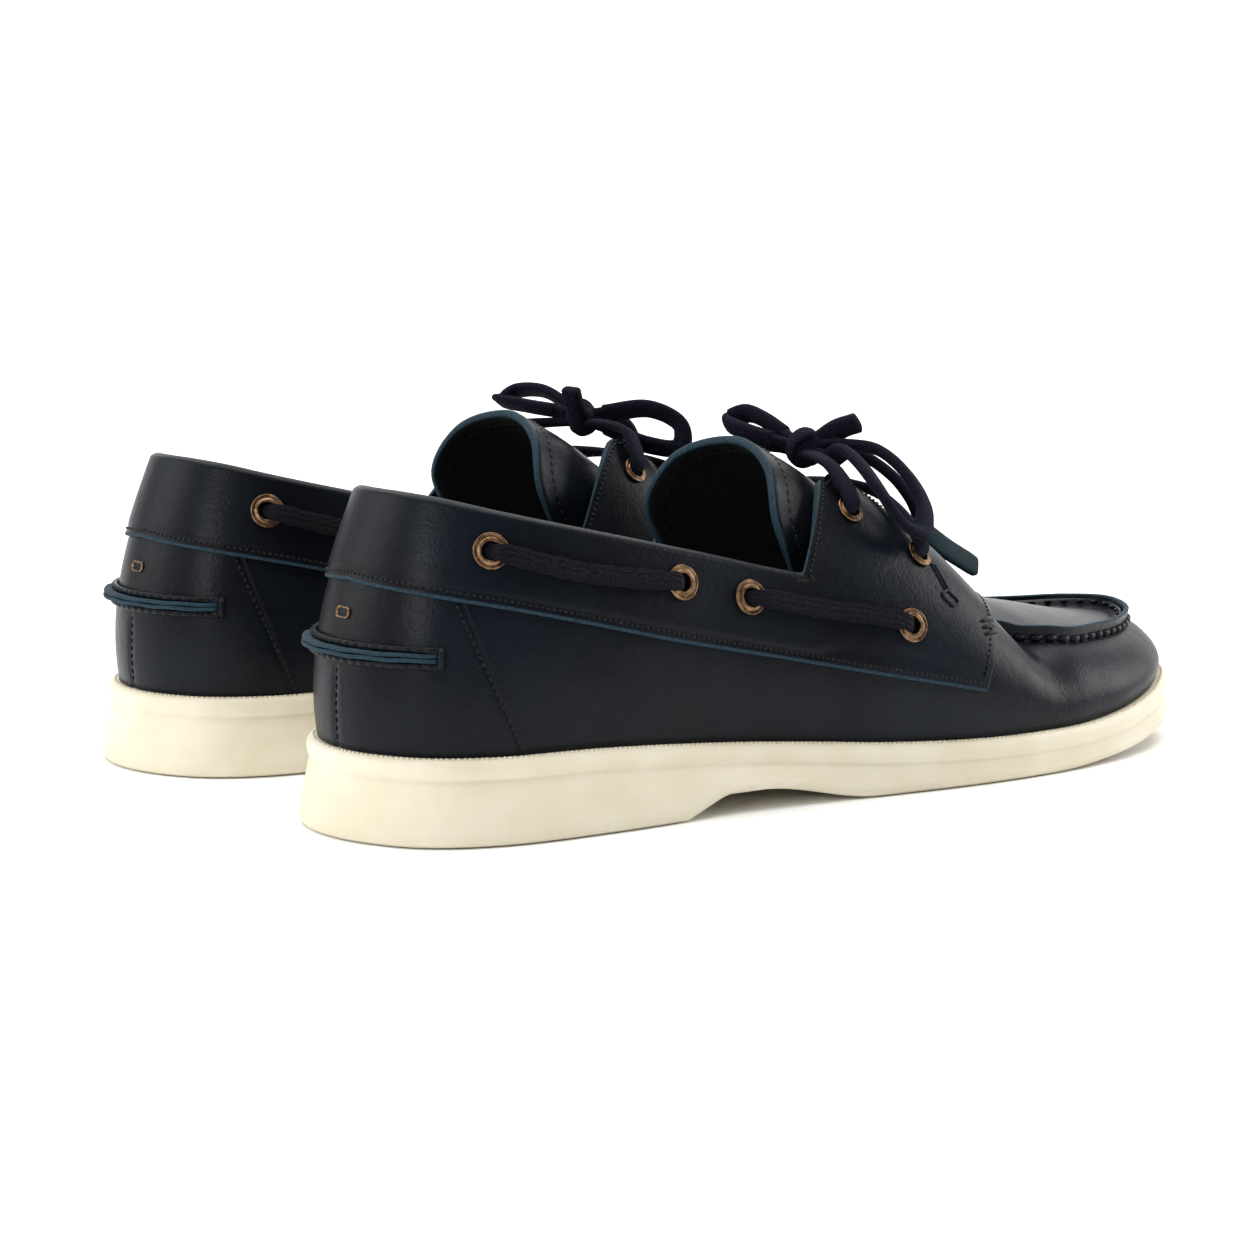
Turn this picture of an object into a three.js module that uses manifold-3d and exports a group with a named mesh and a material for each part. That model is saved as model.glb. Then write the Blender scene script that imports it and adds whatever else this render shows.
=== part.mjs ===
// A pair of low-cut moccasin-toe deck shoes, right and left, standing side by side.
// Frame: +X towards the toes, +Y to the wearer's left, +Z up, millimetres.
// Each shoe is worked out in shoe coordinates (x from the heel, w outwards from the
// centreline on the lateral side, z from the ground) and then placed for its foot.
import * as THREE from 'three';
import { mergeVertices } from 'three/addons/utils/BufferGeometryUtils.js';
import Module from 'manifold-3d';

// ---- overall sizes -------------------------------------------------------------------
const SHOE_LENGTH = 300;
const SHOE_WIDTH = 108;
const HEEL_BREAST_HEIGHT = 23;
const UPPER_HEIGHT = 66.8;
const SHOE_SPACING = 112.5;

// ---- leather, rubber and lace --------------------------------------------------------
const VAMP_THICKNESS = 1.5;
const COLLAR_THICKNESS = 1.2;
const LAP_STEP = 0.55;
const LINING_THICKNESS = 1.2;
const LINING_GAP = 2.9;
const APRON_THICKNESS = 1.6;
const TONGUE_THICKNESS = 1.8;
const SEAM_RISE = 4.2;
const APRON_CROWN = 9;
const COLLAR_LAP = 7;
const FIT_GAP = 0.3;
const FOOTBED_THICKNESS = 4;
const INSOLE_THICKNESS = 1.5;
const FOOTBED_INSET = 5.2;
const LIP_OVERHANG = 3;
const LIP_DEPTH = 5;
const SOLE_FLARE = 3.4;
const ARCH_LIFT = 5.5;
const ROLL_REACH = 5;
const ROLL_HEIGHT = 3.6;
const STUD_RADIUS = 2.6;
const STUD_HEIGHT = 1.2;
const SIDE_EYELET_RADIUS = 4.9;
const SIDE_BORE_RADIUS = 2.7;
const TOP_EYELET_RADIUS = 4.1;
const TOP_BORE_RADIUS = 2.6;
const EYELET_WALL = 0.7;
const EYELET_LIP = 1.1;
const LACE_WIDTH = 6;
const LACE_THICKNESS = 1.5;
const LACE_NARROW = 3.2;
const LACE_IN_BORE = 4.2;
const BOW_THICKNESS = 2;
const TIP_WIDTH = 8;
const TIP_THICKNESS = 2.6;
const KNOT_RADIUS = 7.6;

// ---- pattern sizes that the tables below are drawn for ---------------------------------
const PATTERN_LENGTH = 300;
const PATTERN_WIDTH = 108;
const PATTERN_HEEL = 23;
const PATTERN_UPPER = 66.8;
const GRADE_X = SHOE_LENGTH / PATTERN_LENGTH;
const GRADE_W = SHOE_WIDTH / PATTERN_WIDTH;
const GRADE_UPPER = UPPER_HEIGHT / PATTERN_UPPER;
const HEEL_RAISE = HEEL_BREAST_HEIGHT - PATTERN_HEEL;

// Stations around one side of the last, from the heel (0) to the toe (1):
// [station, base x, lateral w, medial w, base z, top x, lateral w, medial w,
//  lateral z, medial z, bulge, lean]. The top row is the throat and seam line.
const STATIONS = [
  [0.000, 6.5, 0, 0, 23.0, 22.0, 0, 0, 94.5, 94.5, 5.0, 0.35],
  [0.050, 9.0, 13, 13, 23.0, 23.5, 10.5, 10.5, 94.2, 94.2, 5.0, 0.35],
  [0.100, 16.5, 25.5, 25, 23.0, 28.5, 18.5, 18.5, 93.4, 93.4, 5.0, 0.35],
  [0.170, 33, 34.5, 33.5, 22.8, 40, 26, 26, 91.8, 91.8, 3.5, 0.35],
  [0.280, 65, 38.5, 35.5, 22.2, 66, 31, 31, 89.0, 89.0, 4.5, 0.35],
  [0.400, 105, 39.5, 34.0, 19.3, 106, 29.5, 31.0, 87.0, 88.0, 6.0, 0.45],
  [0.500, 135, 43.0, 36.5, 16.6, 136, 24.5, 30.0, 87.5, 91.0, 7.0, 0.60],
  [0.570, 155, 47.0, 40.5, 14.8, 157, 19.0, 26.0, 86.0, 91.0, 7.0, 0.70],
  [0.660, 185, 51.5, 45.5, 13.1, 183, 18.5, 22.0, 70.5, 74.0, 6.5, 0.75],
  [0.750, 212, 52.5, 47.5, 12.6, 207, 28.0, 26.5, 46.5, 47.0, 5.0, 0.70],
  [0.812, 232, 51.0, 47.0, 12.9, 230, 38.0, 36.0, 35.5, 35.5, 4.0, 0.60],
  [0.872, 254, 46.0, 43.5, 15.0, 252, 33.5, 32.5, 33.5, 33.5, 3.5, 0.60],
  [0.927, 275, 35.5, 34.5, 18.3, 272.5, 24.5, 24.0, 33.3, 33.3, 3.5, 0.60],
  [0.970, 290, 20.0, 20.0, 21.0, 285.5, 13.0, 13.0, 34.2, 34.2, 3.5, 0.60],
  [1.000, 295.5, 0, 0, 21.5, 290.0, 0, 0, 34.8, 34.8, 3.5, 0.60],
];

// Heights of the pattern edges above the ground, [station, z].
const TOPLINE = [[0, 89.8], [0.044, 89.6], [0.1, 88.3], [0.17, 85], [0.28, 78.5], [0.376, 71],
  [0.44, 66], [0.488, 62.7]];
const BAND_SEAM = [[0, 67.2], [0.072, 65.6], [0.17, 61.5], [0.272, 55], [0.366, 47.4],
  [0.472, 40.4], [0.58, 33.6], [0.668, 27.2]];
// Eyestay and throat as a share of the meridian, [station, share].
const FLAP_FOOT = 0.488;
const FLAP_PEAK = 0.542;
const THROAT_TOP = 0.575;
const THROAT_FOOT = 0.745;
const COLLAR_FOOT = 0.668;
const HEEL_SEAM_TOP = 0.120;
const HEEL_SEAM_BOTTOM = 0.196;
const ROLL_END = 0.116;
const ROLL_Z = 48.6;
const STUD_Z = 58.2;
const LINING_END = 0.60;
const MEDIAL_SET = 0.028;

// Eyelets of one side, [name, station, share of the meridian, is a top eyelet].
const EYELETS = [
  ['eyelet_heel', 0.160, 0.72, false],
  ['eyelet_rear', 0.354, 0.59, false],
  ['eyelet_waist', 0.422, 0.51, false],
  ['eyelet_front', 0.596, 0.39, false],
  ['eyelet_top', 0.562, 0.78, true],
  ['eyelet_throat', 0.628, 0.68, true],
];

const wasm = await Module();
wasm.setup();

// ---- materials -----------------------------------------------------------------------
const material = (color, roughness, metalness = 0) =>
  new THREE.MeshStandardMaterial({ color, roughness, metalness });
const NAVY_LEATHER = material('#1b222d', 0.42);
const NAVY_SUEDE = material('#1c1f2e', 0.85);
const BLACK_LINING = material('#15161a', 0.8);
const CREAM_RUBBER = material('#e3dac6', 0.6);
const AGED_BRASS = material('#8a6d48', 0.38, 1);
const TAN_BOARD = material('#8d7a60', 0.9);
const TEAL_LEATHER = material('#3c5563', 0.75);

// ---- curves and surfaces -------------------------------------------------------------
// Cubic Hermite through rows [parameter, ...values], with mean slopes as tangents.
function splineRow(rows, q) {
  const clamped = Math.min(Math.max(q, rows[0][0]), rows[rows.length - 1][0]);
  let i = 0;
  while (i < rows.length - 2 && rows[i + 1][0] <= clamped) i += 1;
  const slope = (a, k) => (rows[a + 1][k] - rows[a][k]) / (rows[a + 1][0] - rows[a][0]);
  const tangent = (a, k) => {
    if (a === 0) return slope(0, k);
    if (a === rows.length - 1) return slope(a - 1, k);
    return (slope(a - 1, k) + slope(a, k)) / 2;
  };
  const h = rows[i + 1][0] - rows[i][0];
  const t = (clamped - rows[i][0]) / h;
  const values = [];
  for (let k = 1; k < rows[0].length; k += 1) {
    values.push((2 * t ** 3 - 3 * t ** 2 + 1) * rows[i][k]
      + (t ** 3 - 2 * t ** 2 + t) * h * tangent(i, k)
      + (3 * t ** 2 - 2 * t ** 3) * rows[i + 1][k]
      + (t ** 3 - t ** 2) * h * tangent(i + 1, k));
  }
  return values;
}

const alongSide = (rows, q) => splineRow(rows, Math.abs(q))[0];

// Both sides in one closed table: station -1 (toe) over the medial side to the heel (0)
// and over the lateral side to the toe again (1), with a few rows more past the toe.
function sideRow(row, side) {
  const [q, bx, bl, bm, bz, tx, tl, tm, zl, zm, bulge, lean] = row;
  const lateral = side > 0;
  const topZ = bz + (lateral ? zl : zm) * GRADE_UPPER - bz * GRADE_UPPER + HEEL_RAISE;
  return [side * q, bx * GRADE_X, side * (lateral ? bl : bm) * GRADE_W, bz + HEEL_RAISE,
    tx * GRADE_X, side * (lateral ? tl : tm) * GRADE_W, topZ, bulge, lean];
}

const LATERAL_ROWS = STATIONS.map((row) => sideRow(row, 1));
const MEDIAL_ROWS = STATIONS.map((row) => sideRow(row, -1)).reverse().slice(0, -1);
const shifted = (rows, turn) => rows.map(([q, ...rest]) => [q + turn, ...rest]);
const RING = [
  ...shifted(LATERAL_ROWS.slice(-4, -1), -2),
  ...MEDIAL_ROWS,
  ...LATERAL_ROWS,
  ...shifted(MEDIAL_ROWS.slice(1, 4), 2),
];

const wrap = (q) => q - 2 * Math.floor((q + 1) / 2);

// Outward direction in plan at a station.
function planNormal(q) {
  const step = 1e-4;
  const a = splineRow(RING, q - step);
  const b = splineRow(RING, q + step);
  return new THREE.Vector3(-(b[1] - a[1]), b[0] - a[0], 0).normalize();
}

// Point of the last's surface at a station and a share of its meridian.
function lastPoint(station, share) {
  const q = wrap(station);
  const [bx, bw, bz, tx, tw, tz, bulge, lean] = splineRow(RING, q);
  const foot = new THREE.Vector3(bx, bw, bz);
  const top = new THREE.Vector3(tx, tw, tz);
  const rise = tz - bz;
  const low = foot.clone().addScaledVector(planNormal(q), bulge)
    .add(new THREE.Vector3((tx - bx) * 0.1, 0, rise * 0.38));
  const high = new THREE.Vector3(tx - (tx - bx) * 0.55, tw - (tw - bw) * lean,
    tz - rise * (1 - lean) * 0.42);
  return new THREE.CubicBezierCurve3(foot, low, high, top).getPoint(share);
}

function lastNormal(q, share) {
  const step = 1e-3;
  const along = lastPoint(q + step, share).sub(lastPoint(q - step, share));
  const up = lastPoint(q, Math.min(share + step, 1)).sub(lastPoint(q, Math.max(share - step, 0)));
  return up.cross(along).normalize();
}

const onLast = (q, share, offset) => lastPoint(q, share).addScaledVector(lastNormal(q, share), offset);

// Share of the meridian at which the pattern height z is reached.
function shareAt(q, patternZ) {
  const z = patternHeight(q, patternZ);
  let low = 0;
  let high = 1;
  for (let i = 0; i < 22; i += 1) {
    const middle = (low + high) / 2;
    if (lastPoint(q, middle).z < z) low = middle;
    else high = middle;
  }
  return (low + high) / 2;
}

function patternHeight(q, z) {
  const base = splineRow(STATIONS, Math.abs(wrap(q)))[3];
  return base + (z - base) * GRADE_UPPER + HEEL_RAISE;
}

// ---- closed meshes -------------------------------------------------------------------
// Triangles given as point triples become one indexed closed geometry facing out.
function solid(triangles) {
  const positions = [];
  for (const triangle of triangles) {
    for (const p of triangle) positions.push(p.x, p.y, p.z);
  }
  const soup = new THREE.BufferGeometry();
  soup.setAttribute('position', new THREE.Float32BufferAttribute(positions, 3));
  const merged = mergeVertices(soup, 1e-4);
  const kept = [];
  const index = merged.index.array;
  for (let i = 0; i < index.length; i += 3) {
    const [a, b, c] = [index[i], index[i + 1], index[i + 2]];
    if (a !== b && b !== c && a !== c) kept.push(a, b, c);
  }
  merged.setIndex(kept);
  return signedVolume(merged) < 0 ? flipped(merged) : merged;
}

function signedVolume(geometry) {
  const position = geometry.attributes.position;
  const corner = (i) => new THREE.Vector3().fromBufferAttribute(position, geometry.index.array[i]);
  let sum = 0;
  for (let i = 0; i < geometry.index.count; i += 3) {
    sum += corner(i).dot(corner(i + 1).cross(corner(i + 2)));
  }
  return sum / 6;
}

function flipped(geometry) {
  const index = Array.from(geometry.index.array);
  for (let i = 0; i < index.length; i += 3) [index[i + 1], index[i + 2]] = [index[i + 2], index[i + 1]];
  geometry.setIndex(index);
  return geometry;
}

const quad = (a, b, c, d) => [[a, b, c], [a, c, d]];

// Shell between two grids of points, [column][row]; closed joins the last column to the first.
function shell(outer, inner, closed = false) {
  const triangles = [];
  const columns = outer.length;
  const last = closed ? columns : columns - 1;
  const top = outer[0].length - 1;
  for (let i = 0; i < last; i += 1) {
    const j = (i + 1) % columns;
    for (let k = 0; k < top; k += 1) {
      triangles.push(...quad(outer[i][k], outer[j][k], outer[j][k + 1], outer[i][k + 1]));
      triangles.push(...quad(inner[i][k], inner[i][k + 1], inner[j][k + 1], inner[j][k]));
    }
    triangles.push(...quad(outer[i][0], inner[i][0], inner[j][0], outer[j][0]));
    triangles.push(...quad(outer[i][top], outer[j][top], inner[j][top], inner[i][top]));
  }
  if (!closed) {
    for (let k = 0; k < top; k += 1) {
      const z = columns - 1;
      triangles.push(...quad(outer[0][k], outer[0][k + 1], inner[0][k + 1], inner[0][k]));
      triangles.push(...quad(outer[z][k], inner[z][k], inner[z][k + 1], outer[z][k + 1]));
    }
  }
  return solid(triangles);
}

const fractions = (count) => Array.from({ length: count + 1 }, (_, i) => i / count);
const mix = (a, b, t) => a + (b - a) * t;

// Leather patch over the last. Columns are [bottom q, bottom share, top q, top share].
function patch(columns, rows, outerOffset, innerOffset) {
  const grid = (offset) => columns.map(([q0, t0, q1, t1]) => fractions(rows).map((v) => {
    const height = typeof offset === 'function' ? offset(v, q1) : offset;
    return onLast(mix(q0, q1, v), mix(t0, t1, v), height);
  }));
  return shell(grid(outerOffset), grid(innerOffset));
}

function toManifold(geometry) {
  return new wasm.Manifold(new wasm.Mesh({
    numProp: 3,
    vertProperties: new Float32Array(geometry.attributes.position.array),
    triVerts: new Uint32Array(geometry.index.array),
  }));
}

function fromManifold(manifold) {
  const mesh = manifold.getMesh();
  const geometry = new THREE.BufferGeometry();
  geometry.setAttribute('position', new THREE.Float32BufferAttribute(mesh.vertProperties, 3));
  geometry.setIndex(Array.from(mesh.triVerts));
  return geometry;
}

function plain(geometry) {
  geometry.deleteAttribute('normal');
  geometry.deleteAttribute('uv');
  return mergeVertices(geometry, 1e-4);
}

// ---- sole, footbed and insole ----------------------------------------------------------
const SOLE_HALF_STEPS = 22;
const soleStations = () => {
  const side = fractions(SOLE_HALF_STEPS).map((u) => mix(u, (1 - Math.cos(Math.PI * u)) / 2, 0.6));
  return [...side, ...side.slice(1, -1).reverse().map((q) => -q)];
};

function outline(q, reach, z) {
  const [bx, bw] = splineRow(RING, wrap(q));
  return new THREE.Vector3(bx, bw, z).addScaledVector(planNormal(q), reach);
}

const baseHeight = (q) => splineRow(RING, wrap(q))[2];

// Stacked rings around the shoe, capped below and above by strips from side to side.
function stackedRings(levels) {
  const stations = soleStations();
  const count = stations.length;
  const rings = levels.map((level) => stations.map((q) => level(q)));
  const triangles = [];
  for (let k = 0; k < rings.length - 1; k += 1) {
    for (let i = 0; i < count; i += 1) {
      const j = (i + 1) % count;
      triangles.push(...quad(rings[k][i], rings[k][j], rings[k + 1][j], rings[k + 1][i]));
    }
  }
  for (const [ring, down] of [[rings[0], true], [rings[rings.length - 1], false]]) {
    for (let i = 0; i < SOLE_HALF_STEPS; i += 1) {
      const a = ring[i];
      const b = ring[i + 1];
      const c = ring[(count - i - 1) % count];
      const d = ring[(count - i) % count];
      triangles.push(...(down ? quad(a, d, c, b) : quad(a, b, c, d)));
    }
  }
  return solid(triangles);
}

// Underside of the sole: flat heel block, lifted arch, flat tread and toe spring.
function undersideHeight(q) {
  const station = Math.abs(wrap(q));
  if (station <= 0.35) return 0;
  if (station < 0.56) {
    const breast = THREE.MathUtils.clamp((station - 0.35) / 0.04, 0, 1);
    const fade = 1 - THREE.MathUtils.smoothstep(station, 0.43, 0.56);
    return ARCH_LIFT * Math.min(breast, fade);
  }
  const toe = Math.max(0, (station - 0.76) / 0.24);
  return 9.5 * toe ** 1.6;
}

function makeOutsole() {
  const flare = (q) => SOLE_FLARE * mix(1, 0.35, THREE.MathUtils.smoothstep(Math.abs(wrap(q)), 0.3, 0.7));
  return stackedRings([
    (q) => outline(q, LIP_OVERHANG + flare(q) - 2.4, undersideHeight(q)),
    (q) => outline(q, LIP_OVERHANG + flare(q) - 0.6, undersideHeight(q) + 1.4),
    (q) => outline(q, LIP_OVERHANG - 0.4, baseHeight(q) - LIP_DEPTH - 1.2),
    (q) => outline(q, LIP_OVERHANG, baseHeight(q) - LIP_DEPTH),
    (q) => outline(q, LIP_OVERHANG + 0.3, baseHeight(q) - 1.6),
    (q) => outline(q, LIP_OVERHANG - 1, baseHeight(q) - FIT_GAP),
  ]);
}

function makeInnerBoard(bottom, thickness, inset) {
  return stackedRings([
    (q) => outline(q, -inset, baseHeight(q) + bottom),
    (q) => outline(q, -inset, baseHeight(q) + bottom + thickness),
  ]);
}

// ---- leather pieces ----------------------------------------------------------------------
const bandShare = (q) => shareAt(q, alongSide(BAND_SEAM, q));
const lapShare = (q) => shareAt(q, alongSide(BAND_SEAM, q) + COLLAR_LAP);

// Upper edge of the vamp: lapped under the collar, then up to the apron seam.
function vampTopShare(q) {
  const station = Math.abs(wrap(q));
  const covered = 0.93;
  if (station >= 0.72) return mix(covered, 1, THREE.MathUtils.smoothstep(station, THROAT_FOOT, 0.775));
  return mix(lapShare(station), covered, THREE.MathUtils.smoothstep(station, 0.655, 0.72));
}

const seamRise = (q) => SEAM_RISE * THREE.MathUtils.smoothstep(Math.abs(wrap(q)), THROAT_FOOT + 0.004, 0.775);

const VAMP_HALF_STEPS = 22;
const TOE_CROWDING = 1.35;
function makeVamp() {
  const halfSteps = fractions(VAMP_HALF_STEPS).map((u) => u ** TOE_CROWDING);
  const outer = [];
  const inner = [];
  for (const u of [...halfSteps.slice(1).reverse().map((f) => -f), ...halfSteps]) {
    const low = 1 + u * (1 - HEEL_SEAM_BOTTOM);
    const high = 1 + u * (1 - HEEL_SEAM_TOP);
    const column = (offset) => {
      const points = fractions(5).map((v) => {
        const q = mix(low, high, v);
        return onLast(q, v * vampTopShare(high), offset);
      });
      const edge = lastPoint(high, vampTopShare(high));
      if (seamRise(high) > 0) points[5] = edge.clone().addScaledVector(planNormal(high), offset);
      points.push(points[5].clone());
      points[6].z += Math.max(seamRise(high), 0.05);
      return points;
    };
    outer.push(column(0));
    inner.push(column(-VAMP_THICKNESS));
  }
  return shell(outer, inner);
}

// Heel piece below the collar band, sewn down the back and along both diagonal seams.
function makeHeelPatch() {
  const gap = 0.004;
  const columns = fractions(8).map((u) => {
    const low = mix(-HEEL_SEAM_BOTTOM + gap, HEEL_SEAM_BOTTOM - gap, u);
    const high = mix(-HEEL_SEAM_TOP + gap, HEEL_SEAM_TOP - gap, u);
    return [low, 0, high, lapShare(high)];
  });
  return patch(columns, 5, 0, -VAMP_THICKNESS);
}

const COLLAR_STATIONS = [0, 0.029, 0.058, 0.087, 0.116, 0.16, 0.22, 0.29, 0.36, 0.43, FLAP_FOOT,
  0.515, FLAP_PEAK, THROAT_TOP, 0.61, 0.65, 0.69, 0.72, THROAT_FOOT];

function collarTopShare(q, side) {
  const place = side * setForward(q, side);
  if (q <= FLAP_FOOT) return shareAt(place, alongSide(TOPLINE, q));
  const notch = shareAt(place, alongSide(TOPLINE, FLAP_FOOT));
  if (q <= FLAP_PEAK) return mix(notch, 0.93, (q - FLAP_FOOT) / (FLAP_PEAK - FLAP_FOOT));
  return q < THROAT_TOP ? mix(0.93, 1, (q - FLAP_PEAK) / (THROAT_TOP - FLAP_PEAK)) : 1;
}

// The medial eyestay stands a little further forward than the lateral one.
function setForward(q, side) {
  if (side > 0) return q;
  const rise = THREE.MathUtils.smoothstep(q, 0.36, FLAP_FOOT);
  return q + MEDIAL_SET * rise * (1 - THREE.MathUtils.smoothstep(q, 0.6, THROAT_FOOT));
}

function collarColumns() {
  const squeeze = (COLLAR_FOOT - FLAP_FOOT) / (THROAT_FOOT - FLAP_FOOT);
  const column = (q, side) => {
    const low = side * (q <= FLAP_FOOT ? q : FLAP_FOOT + (q - FLAP_FOOT) * squeeze);
    return [low, bandShare(low), side * setForward(q, side), collarTopShare(q, side)];
  };
  const medial = COLLAR_STATIONS.slice(1).reverse().map((q) => column(q, -1));
  return [...medial, ...COLLAR_STATIONS.map((q) => column(q, 1))];
}

const COLLAR_INNER = LAP_STEP;
const COLLAR_OUTER = LAP_STEP + COLLAR_THICKNESS;

// Turns an upright shape so that its +Y axis follows the surface normal at a point.
function seatOn(geometry, q, share, offset) {
  const turn = new THREE.Quaternion().setFromUnitVectors(new THREE.Vector3(0, 1, 0), lastNormal(q, share));
  const place = new THREE.Matrix4().compose(onLast(q, share, offset), turn, new THREE.Vector3(1, 1, 1));
  return geometry.applyMatrix4(place);
}

const eyeletsOf = (side) => EYELETS.map(([name, q, ...rest]) => [name, setForward(q, side), ...rest]);

const boreRadius = (isTop) => (isTop ? TOP_BORE_RADIUS : SIDE_BORE_RADIUS);

function makeCollar() {
  let collar = toManifold(patch(collarColumns(), 6, COLLAR_OUTER, COLLAR_INNER));
  for (const side of [1, -1]) {
    for (const [, q, share, isTop] of eyeletsOf(side)) {
      const radius = boreRadius(isTop) + EYELET_WALL + FIT_GAP;
      const drill = seatOn(plain(new THREE.CylinderGeometry(radius, radius, 6, 10)), side * q, share, 1);
      collar = collar.subtract(toManifold(drill));
    }
  }
  return fromManifold(collar);
}

function makeLining() {
  const half = [0, 0.029, 0.058, 0.087, 0.116, 0.16, 0.22, 0.29, 0.36, 0.43, FLAP_FOOT, 0.55, LINING_END];
  const base = 0.07;
  const column = (q, side) => {
    const notch = shareAt(side * FLAP_FOOT, alongSide(TOPLINE, FLAP_FOOT) - 3);
    const top = q < FLAP_FOOT ? shareAt(side * q, alongSide(TOPLINE, q))
      : mix(notch, 0.42, (q - FLAP_FOOT) / (LINING_END - FLAP_FOOT));
    return [side * q, base, side * q, top];
  };
  const columns = [...half.slice(1).reverse().map((q) => column(q, -1)), ...half.map((q) => column(q, 1))];
  const turnOut = (v, q) => (Math.abs(q) > FLAP_FOOT - 0.01 ? 0
    : (LINING_GAP + COLLAR_INNER - FIT_GAP) * THREE.MathUtils.smoothstep(v, 0.86, 1));
  return patch(columns, 6, (v, q) => -LINING_GAP + turnOut(v, q),
    (v, q) => -LINING_GAP - LINING_THICKNESS + turnOut(v, q));
}

// Apron: a crowned plate between the two raised seam walls, from under the eyestays to the toe.
const APRON_START = 0.70;
const APRON_INSET = VAMP_THICKNESS + 2 * FIT_GAP;
function makeApron() {
  const lengthSteps = 12;
  const crossSteps = 6;
  const outer = [];
  for (const u of fractions(lengthSteps)) {
    const q = mix(APRON_START, 1, Math.sin(u * Math.PI / 2));
    const lateral = onLast(q, 1, 0).addScaledVector(planNormal(q), -APRON_INSET);
    const medial = onLast(-q, 1, 0).addScaledVector(planNormal(-q), -APRON_INSET);
    const crown = APRON_CROWN * THREE.MathUtils.smoothstep(1 - q, 0, 0.2);
    outer.push(fractions(crossSteps).map((s) => {
      const point = lateral.clone().lerp(medial, s);
      point.z += 0.6 + crown * (1 - (2 * s - 1) ** 2);
      return point;
    }));
  }
  const tip = outer[lengthSteps][0].clone();
  outer[lengthSteps] = outer[lengthSteps].map(() => tip.clone());
  const inner = outer.map((row) => row.map((p) => p.clone().setZ(p.z - APRON_THICKNESS)));
  return shell(outer, inner);
}

// Tongue cross-sections from the throat seam back to the free edge: foot, side, shoulder and
// apex of each, as [x, w, z].
const TONGUE_SECTIONS = [
  [[205, 19, 50.5], [205, 15, 53], [205, 9, 54.6], [205, 0, 55.2]],
  [[192, 25, 50], [192, 21, 57.5], [192, 12, 61.8], [192, 0, 63]],
  [[178, 29, 50.5], [178, 24.5, 61], [178, 14, 69], [178, 0, 71.2]],
  [[164, 31, 52], [163, 27, 67], [164, 15.5, 78.5], [164, 0, 81.2]],
  [[150, 31, 54.5], [147, 29.5, 72], [149, 19, 86.5], [151, 0, 90.5]],
  [[138, 30, 57.5], [130, 30.5, 76.5], [134, 21.5, 91.5], [139, 0, 97.5]],
];

function makeTongue() {
  const narrowing = APRON_INSET * (1 - GRADE_W);
  const point = ([x, w, z], side) =>
    new THREE.Vector3(x * GRADE_X, side * Math.max(w * GRADE_W - narrowing, 0), patternHeight(0.5, z));
  const sections = TONGUE_SECTIONS.map((half) => {
    const mirrored = half.slice(0, -1).reverse();
    const controls = [...half.map((p) => point(p, 1)), ...mirrored.map((p) => point(p, -1))];
    return new THREE.CatmullRomCurve3(controls, false, 'centripetal').getPoints(12);
  });
  const lengthwise = sections[0].map((_, k) =>
    new THREE.CatmullRomCurve3(sections.map((section) => section[k])).getPoints(8));
  const outer = lengthwise[0].map((_, i) => lengthwise.map((line) => line[i]));
  return shell(outer, offsetGrid(outer, -TONGUE_THICKNESS));
}

// Grid moved along its own normals.
function offsetGrid(grid, distance) {
  return grid.map((column, i) => column.map((point, k) => {
    const a = grid[Math.max(i - 1, 0)][k];
    const b = grid[Math.min(i + 1, grid.length - 1)][k];
    const c = column[Math.max(k - 1, 0)];
    const d = column[Math.min(k + 1, column.length - 1)];
    const normal = b.clone().sub(a).cross(d.clone().sub(c)).normalize();
    return point.clone().addScaledVector(normal, distance);
  }));
}

// Two folded leather edges sewn into a ridge round the heel.
function makeHeelRoll() {
  const steps = fractions(16).map((u) => mix(-ROLL_END, ROLL_END, u));
  const rail = (q, lift, reach) => onLast(q, shareAt(q, ROLL_Z + lift), reach);
  const half = ROLL_HEIGHT / 2;
  const reachAt = (q) => ROLL_REACH * (1 - 0.45 * (Math.abs(q) / ROLL_END) ** 4);
  const outer = steps.map((q) => [rail(q, -half, FIT_GAP), rail(q, -half * 0.6, reachAt(q)),
    rail(q, half * 0.6, reachAt(q)), rail(q, half, FIT_GAP)]);
  const lifts = [-half, -half * 0.6, half * 0.6, half];
  const inner = steps.map((q) => lifts.map((lift) => rail(q, lift, FIT_GAP)));
  outer.forEach((column, i) => {
    column[0] = inner[i][0];
    column[3] = inner[i][3];
  });
  return shell(outer, inner);
}

function makeHeelStud() {
  const disc = new THREE.CylinderGeometry(STUD_RADIUS * 0.8, STUD_RADIUS, STUD_HEIGHT, 14);
  return plain(seatOn(disc, 0, shareAt(0, STUD_Z), FIT_GAP + 0.1 + STUD_HEIGHT / 2));
}

// ---- eyelets -----------------------------------------------------------------------------
function makeEyelet(side, q, share, isTop) {
  const bore = boreRadius(isTop);
  const flange = isTop ? TOP_EYELET_RADIUS : SIDE_EYELET_RADIUS;
  const seat = FIT_GAP + 0.15;
  const barrelEnd = -COLLAR_THICKNESS - FIT_GAP;
  const profile = [
    [bore, barrelEnd], [bore + EYELET_WALL, barrelEnd], [bore + EYELET_WALL, seat],
    [flange, seat], [mix(bore, flange, 0.6), seat + EYELET_LIP], [bore, seat + EYELET_LIP * 0.7],
    [bore, barrelEnd],
  ].map(([r, h]) => new THREE.Vector2(r, h));
  return plain(seatOn(new THREE.LatheGeometry(profile, 10), side * q, share, COLLAR_OUTER));
}

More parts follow.
